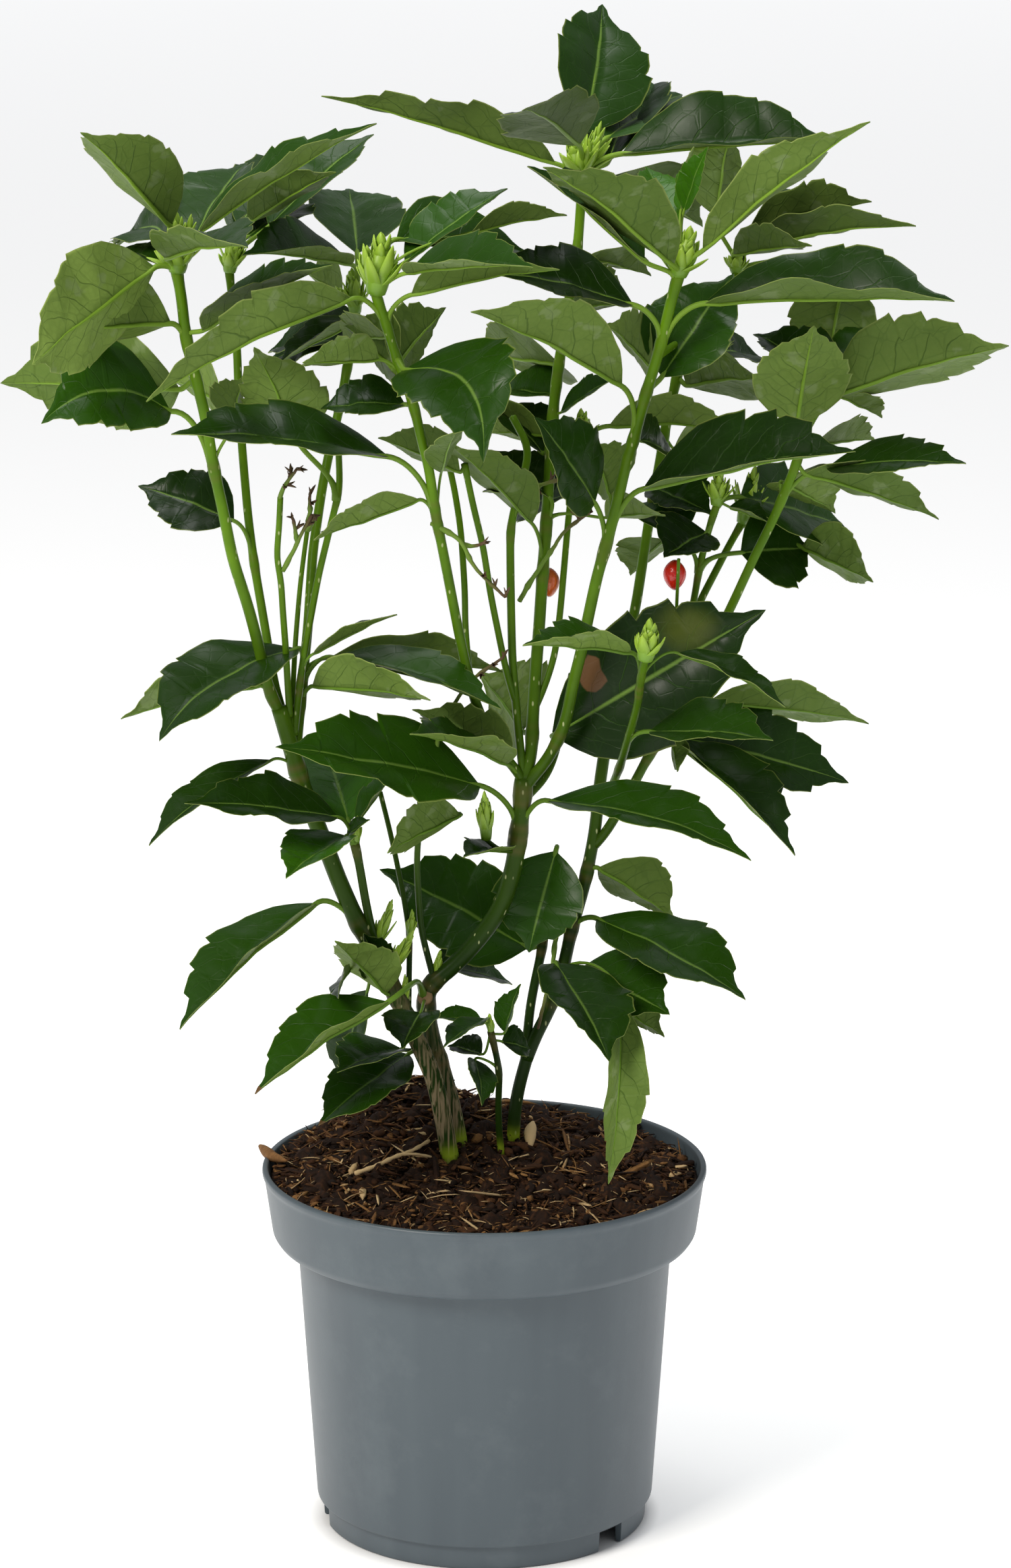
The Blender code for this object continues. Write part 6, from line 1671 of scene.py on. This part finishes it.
def build_berry(name, stem, pixel, diameter, length, dark, bright):
    """An egg turned round Z, its lower end the flower's scar.

    Its radius is R sin(pi t)^0.62 (1 + 0.07 cos pi t), with t from its top to its bottom.
    """
    stalk = stem_point(stem, pixel)
    beside = seen(pixel, stalk[1])
    clear = STEMS[stem].top / 2 + diameter / 2 + BERRY_FIT
    middle = seen(pixel, stalk[1] + math.sqrt(clear ** 2 - (beside[0] - stalk[0]) ** 2))
    t = np.linspace(0, 1, 30)
    egg = np.sin(math.pi * (0.02 + 0.96 * t)) ** 0.62 * (1 + 0.07 * np.cos(math.pi * t))
    route = middle + np.outer(length * (0.5 - t) * 0.98, (0, 0, 1))
    spots, faces, order = tube(route, diameter / 2 * egg / 1.04, BERRY_COLUMNS, DEPTHWARD)
    spots[-1], spots[-2] = route[-1] + (0, 0, 0.7), route[0] - (0, 0, 0.4)
    berry = make_piece(name + "_fruit", spots, faces, [ripe_skin(name, dark, bright)],
                       {"along": t[order]})
    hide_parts(name)


def ripe_skin(name, dark, bright):
    """Ripe skin: waxed, glossy and thin, so light spreads a little in the pulp under it."""
    material, tree, shader = start_material(name + "_ripe_skin")
    clouds = noise(tree, coordinates(tree), 180.0, 4.0)
    scar = ramp(tree, field(tree, "along"), 0.955, 0.985)
    set_inputs(tree, shader, {
        "Base Color": layered(tree, dark, ((bright, clouds, 1.0), ("#3A1C0E", scar, 0.95))),
        "Roughness": 0.24, "Coat Weight": 0.3, "Subsurface Weight": 0.25,
        "Subsurface Radius": (0.002, 0.0006, 0.0003)})
    return material


for name, facts in BERRIES.items():
    build_berry(name, *facts)


# The stage: a plain pale floor that runs back out of sight, soft light from above and both sides,
# and the camera where the photograph was taken from.

# In metres: how far the floor reaches, and how far below the pot's foot it lies
FLOOR_HALF = 40.0
FLOOR_LEVEL = -0.0002
# The floor's own glow near the pot and far off, and how many metres away each begins
FLOOR_GLOWS = (0.38, 0.6)
GLOW_REACH = (1.5, 6.0)
# The floor below the pot has no glow, so its notches look into the dark
POT_SHADE = (0.068, 0.076)
SKY_LOW = 0.34
SKY_HIGH = 0.42
CAMERA_PLACE = (0.009, -2.5, 0.9633)
CAMERA_LENS = 140.9
CAMERA_FILM = 36.0
# Each light: place, metres across, watts and colour
LIGHTS = (((-1.3, -1.5, 1.9), 0.9, 47.0, "#FFF9F0"), ((1.7, -1.1, 1.1), 1.0, 1.5, "#F4F7FF"),
          ((0.0, 0.3, 2.2), 1.0, 20.0, "#FFFFFF"))
LIGHT_TARGET = (0, 0, 0.35)


def build_floor():
    """A level sheet a hair below the pot's foot, whose glow rises with the distance from it."""
    mesh = bpy.data.meshes.new("floor")
    corners = [(x * FLOOR_HALF, y * FLOOR_HALF, FLOOR_LEVEL)
               for x, y in ((-1, -1), (1, -1), (1, 1), (-1, 1))]
    mesh.from_pydata(corners, [], [(0, 1, 2, 3)])
    material, tree, shader = start_material("white_painted_floor")
    away = add_node(tree, "ShaderNodeVectorMath", {0: coordinates(tree)}, "Value",
                    operation="LENGTH")
    glow = maths(tree, "MULTIPLY", ramp(tree, away, *GLOW_REACH, *FLOOR_GLOWS),
                 ramp(tree, away, *POT_SHADE))
    set_inputs(tree, shader, {
        "Base Color": "#F6F6F5", "Roughness": 0.9, "Specular IOR Level": 0.1,
        "Emission Color": "#FFFFFF", "Emission Strength": glow})
    mesh.materials.append(material)
    show("floor", mesh)


def light_stage():
    """Three soft square lights that face the plant's middle, and a pale sky.

    The sky's strength rises from its low to its high value with the sine of the height above the
    horizon.
    """
    for number, (place, size, watts, colour) in enumerate(LIGHTS):
        lamp = bpy.data.lights.new(f"soft_light_{number}", "AREA")
        lamp.size, lamp.energy, lamp.color = size, watts, linear(colour)[:3]
        shown = show(lamp.name, lamp)
        shown.location = place
        towards = Vector(LIGHT_TARGET) - Vector(place)
        shown.rotation_euler = towards.to_track_quat("-Z", "Y").to_euler()
    world = bpy.data.worlds.new("pale_sky")
    world.use_nodes = True
    tree = world.node_tree
    direction = add_node(tree, "ShaderNodeTexCoord", output="Generated")
    height = add_node(tree, "ShaderNodeSeparateXYZ", {0: direction}, "Z")
    strength = ramp(tree, height, 0.0, 1.0, SKY_LOW, SKY_HIGH)
    set_inputs(tree, tree.nodes["Background"], {"Color": "#F9FBFF", "Strength": strength})
    bpy.context.scene.world = world


def place_camera():
    """The view from a little above, level with the crown, looking down by the photo's angle."""
    lens = bpy.data.cameras.new("camera")
    lens.lens, lens.sensor_width = CAMERA_LENS, CAMERA_FILM
    camera = show("camera", lens)
    camera.location = CAMERA_PLACE
    camera.rotation_euler = (math.pi / 2 - LOOK_DOWN, 0, 0)
    bpy.context.scene.camera = camera


build_floor()
light_stage()
place_camera()
bpy.context.scene.view_settings.view_transform = "Standard"
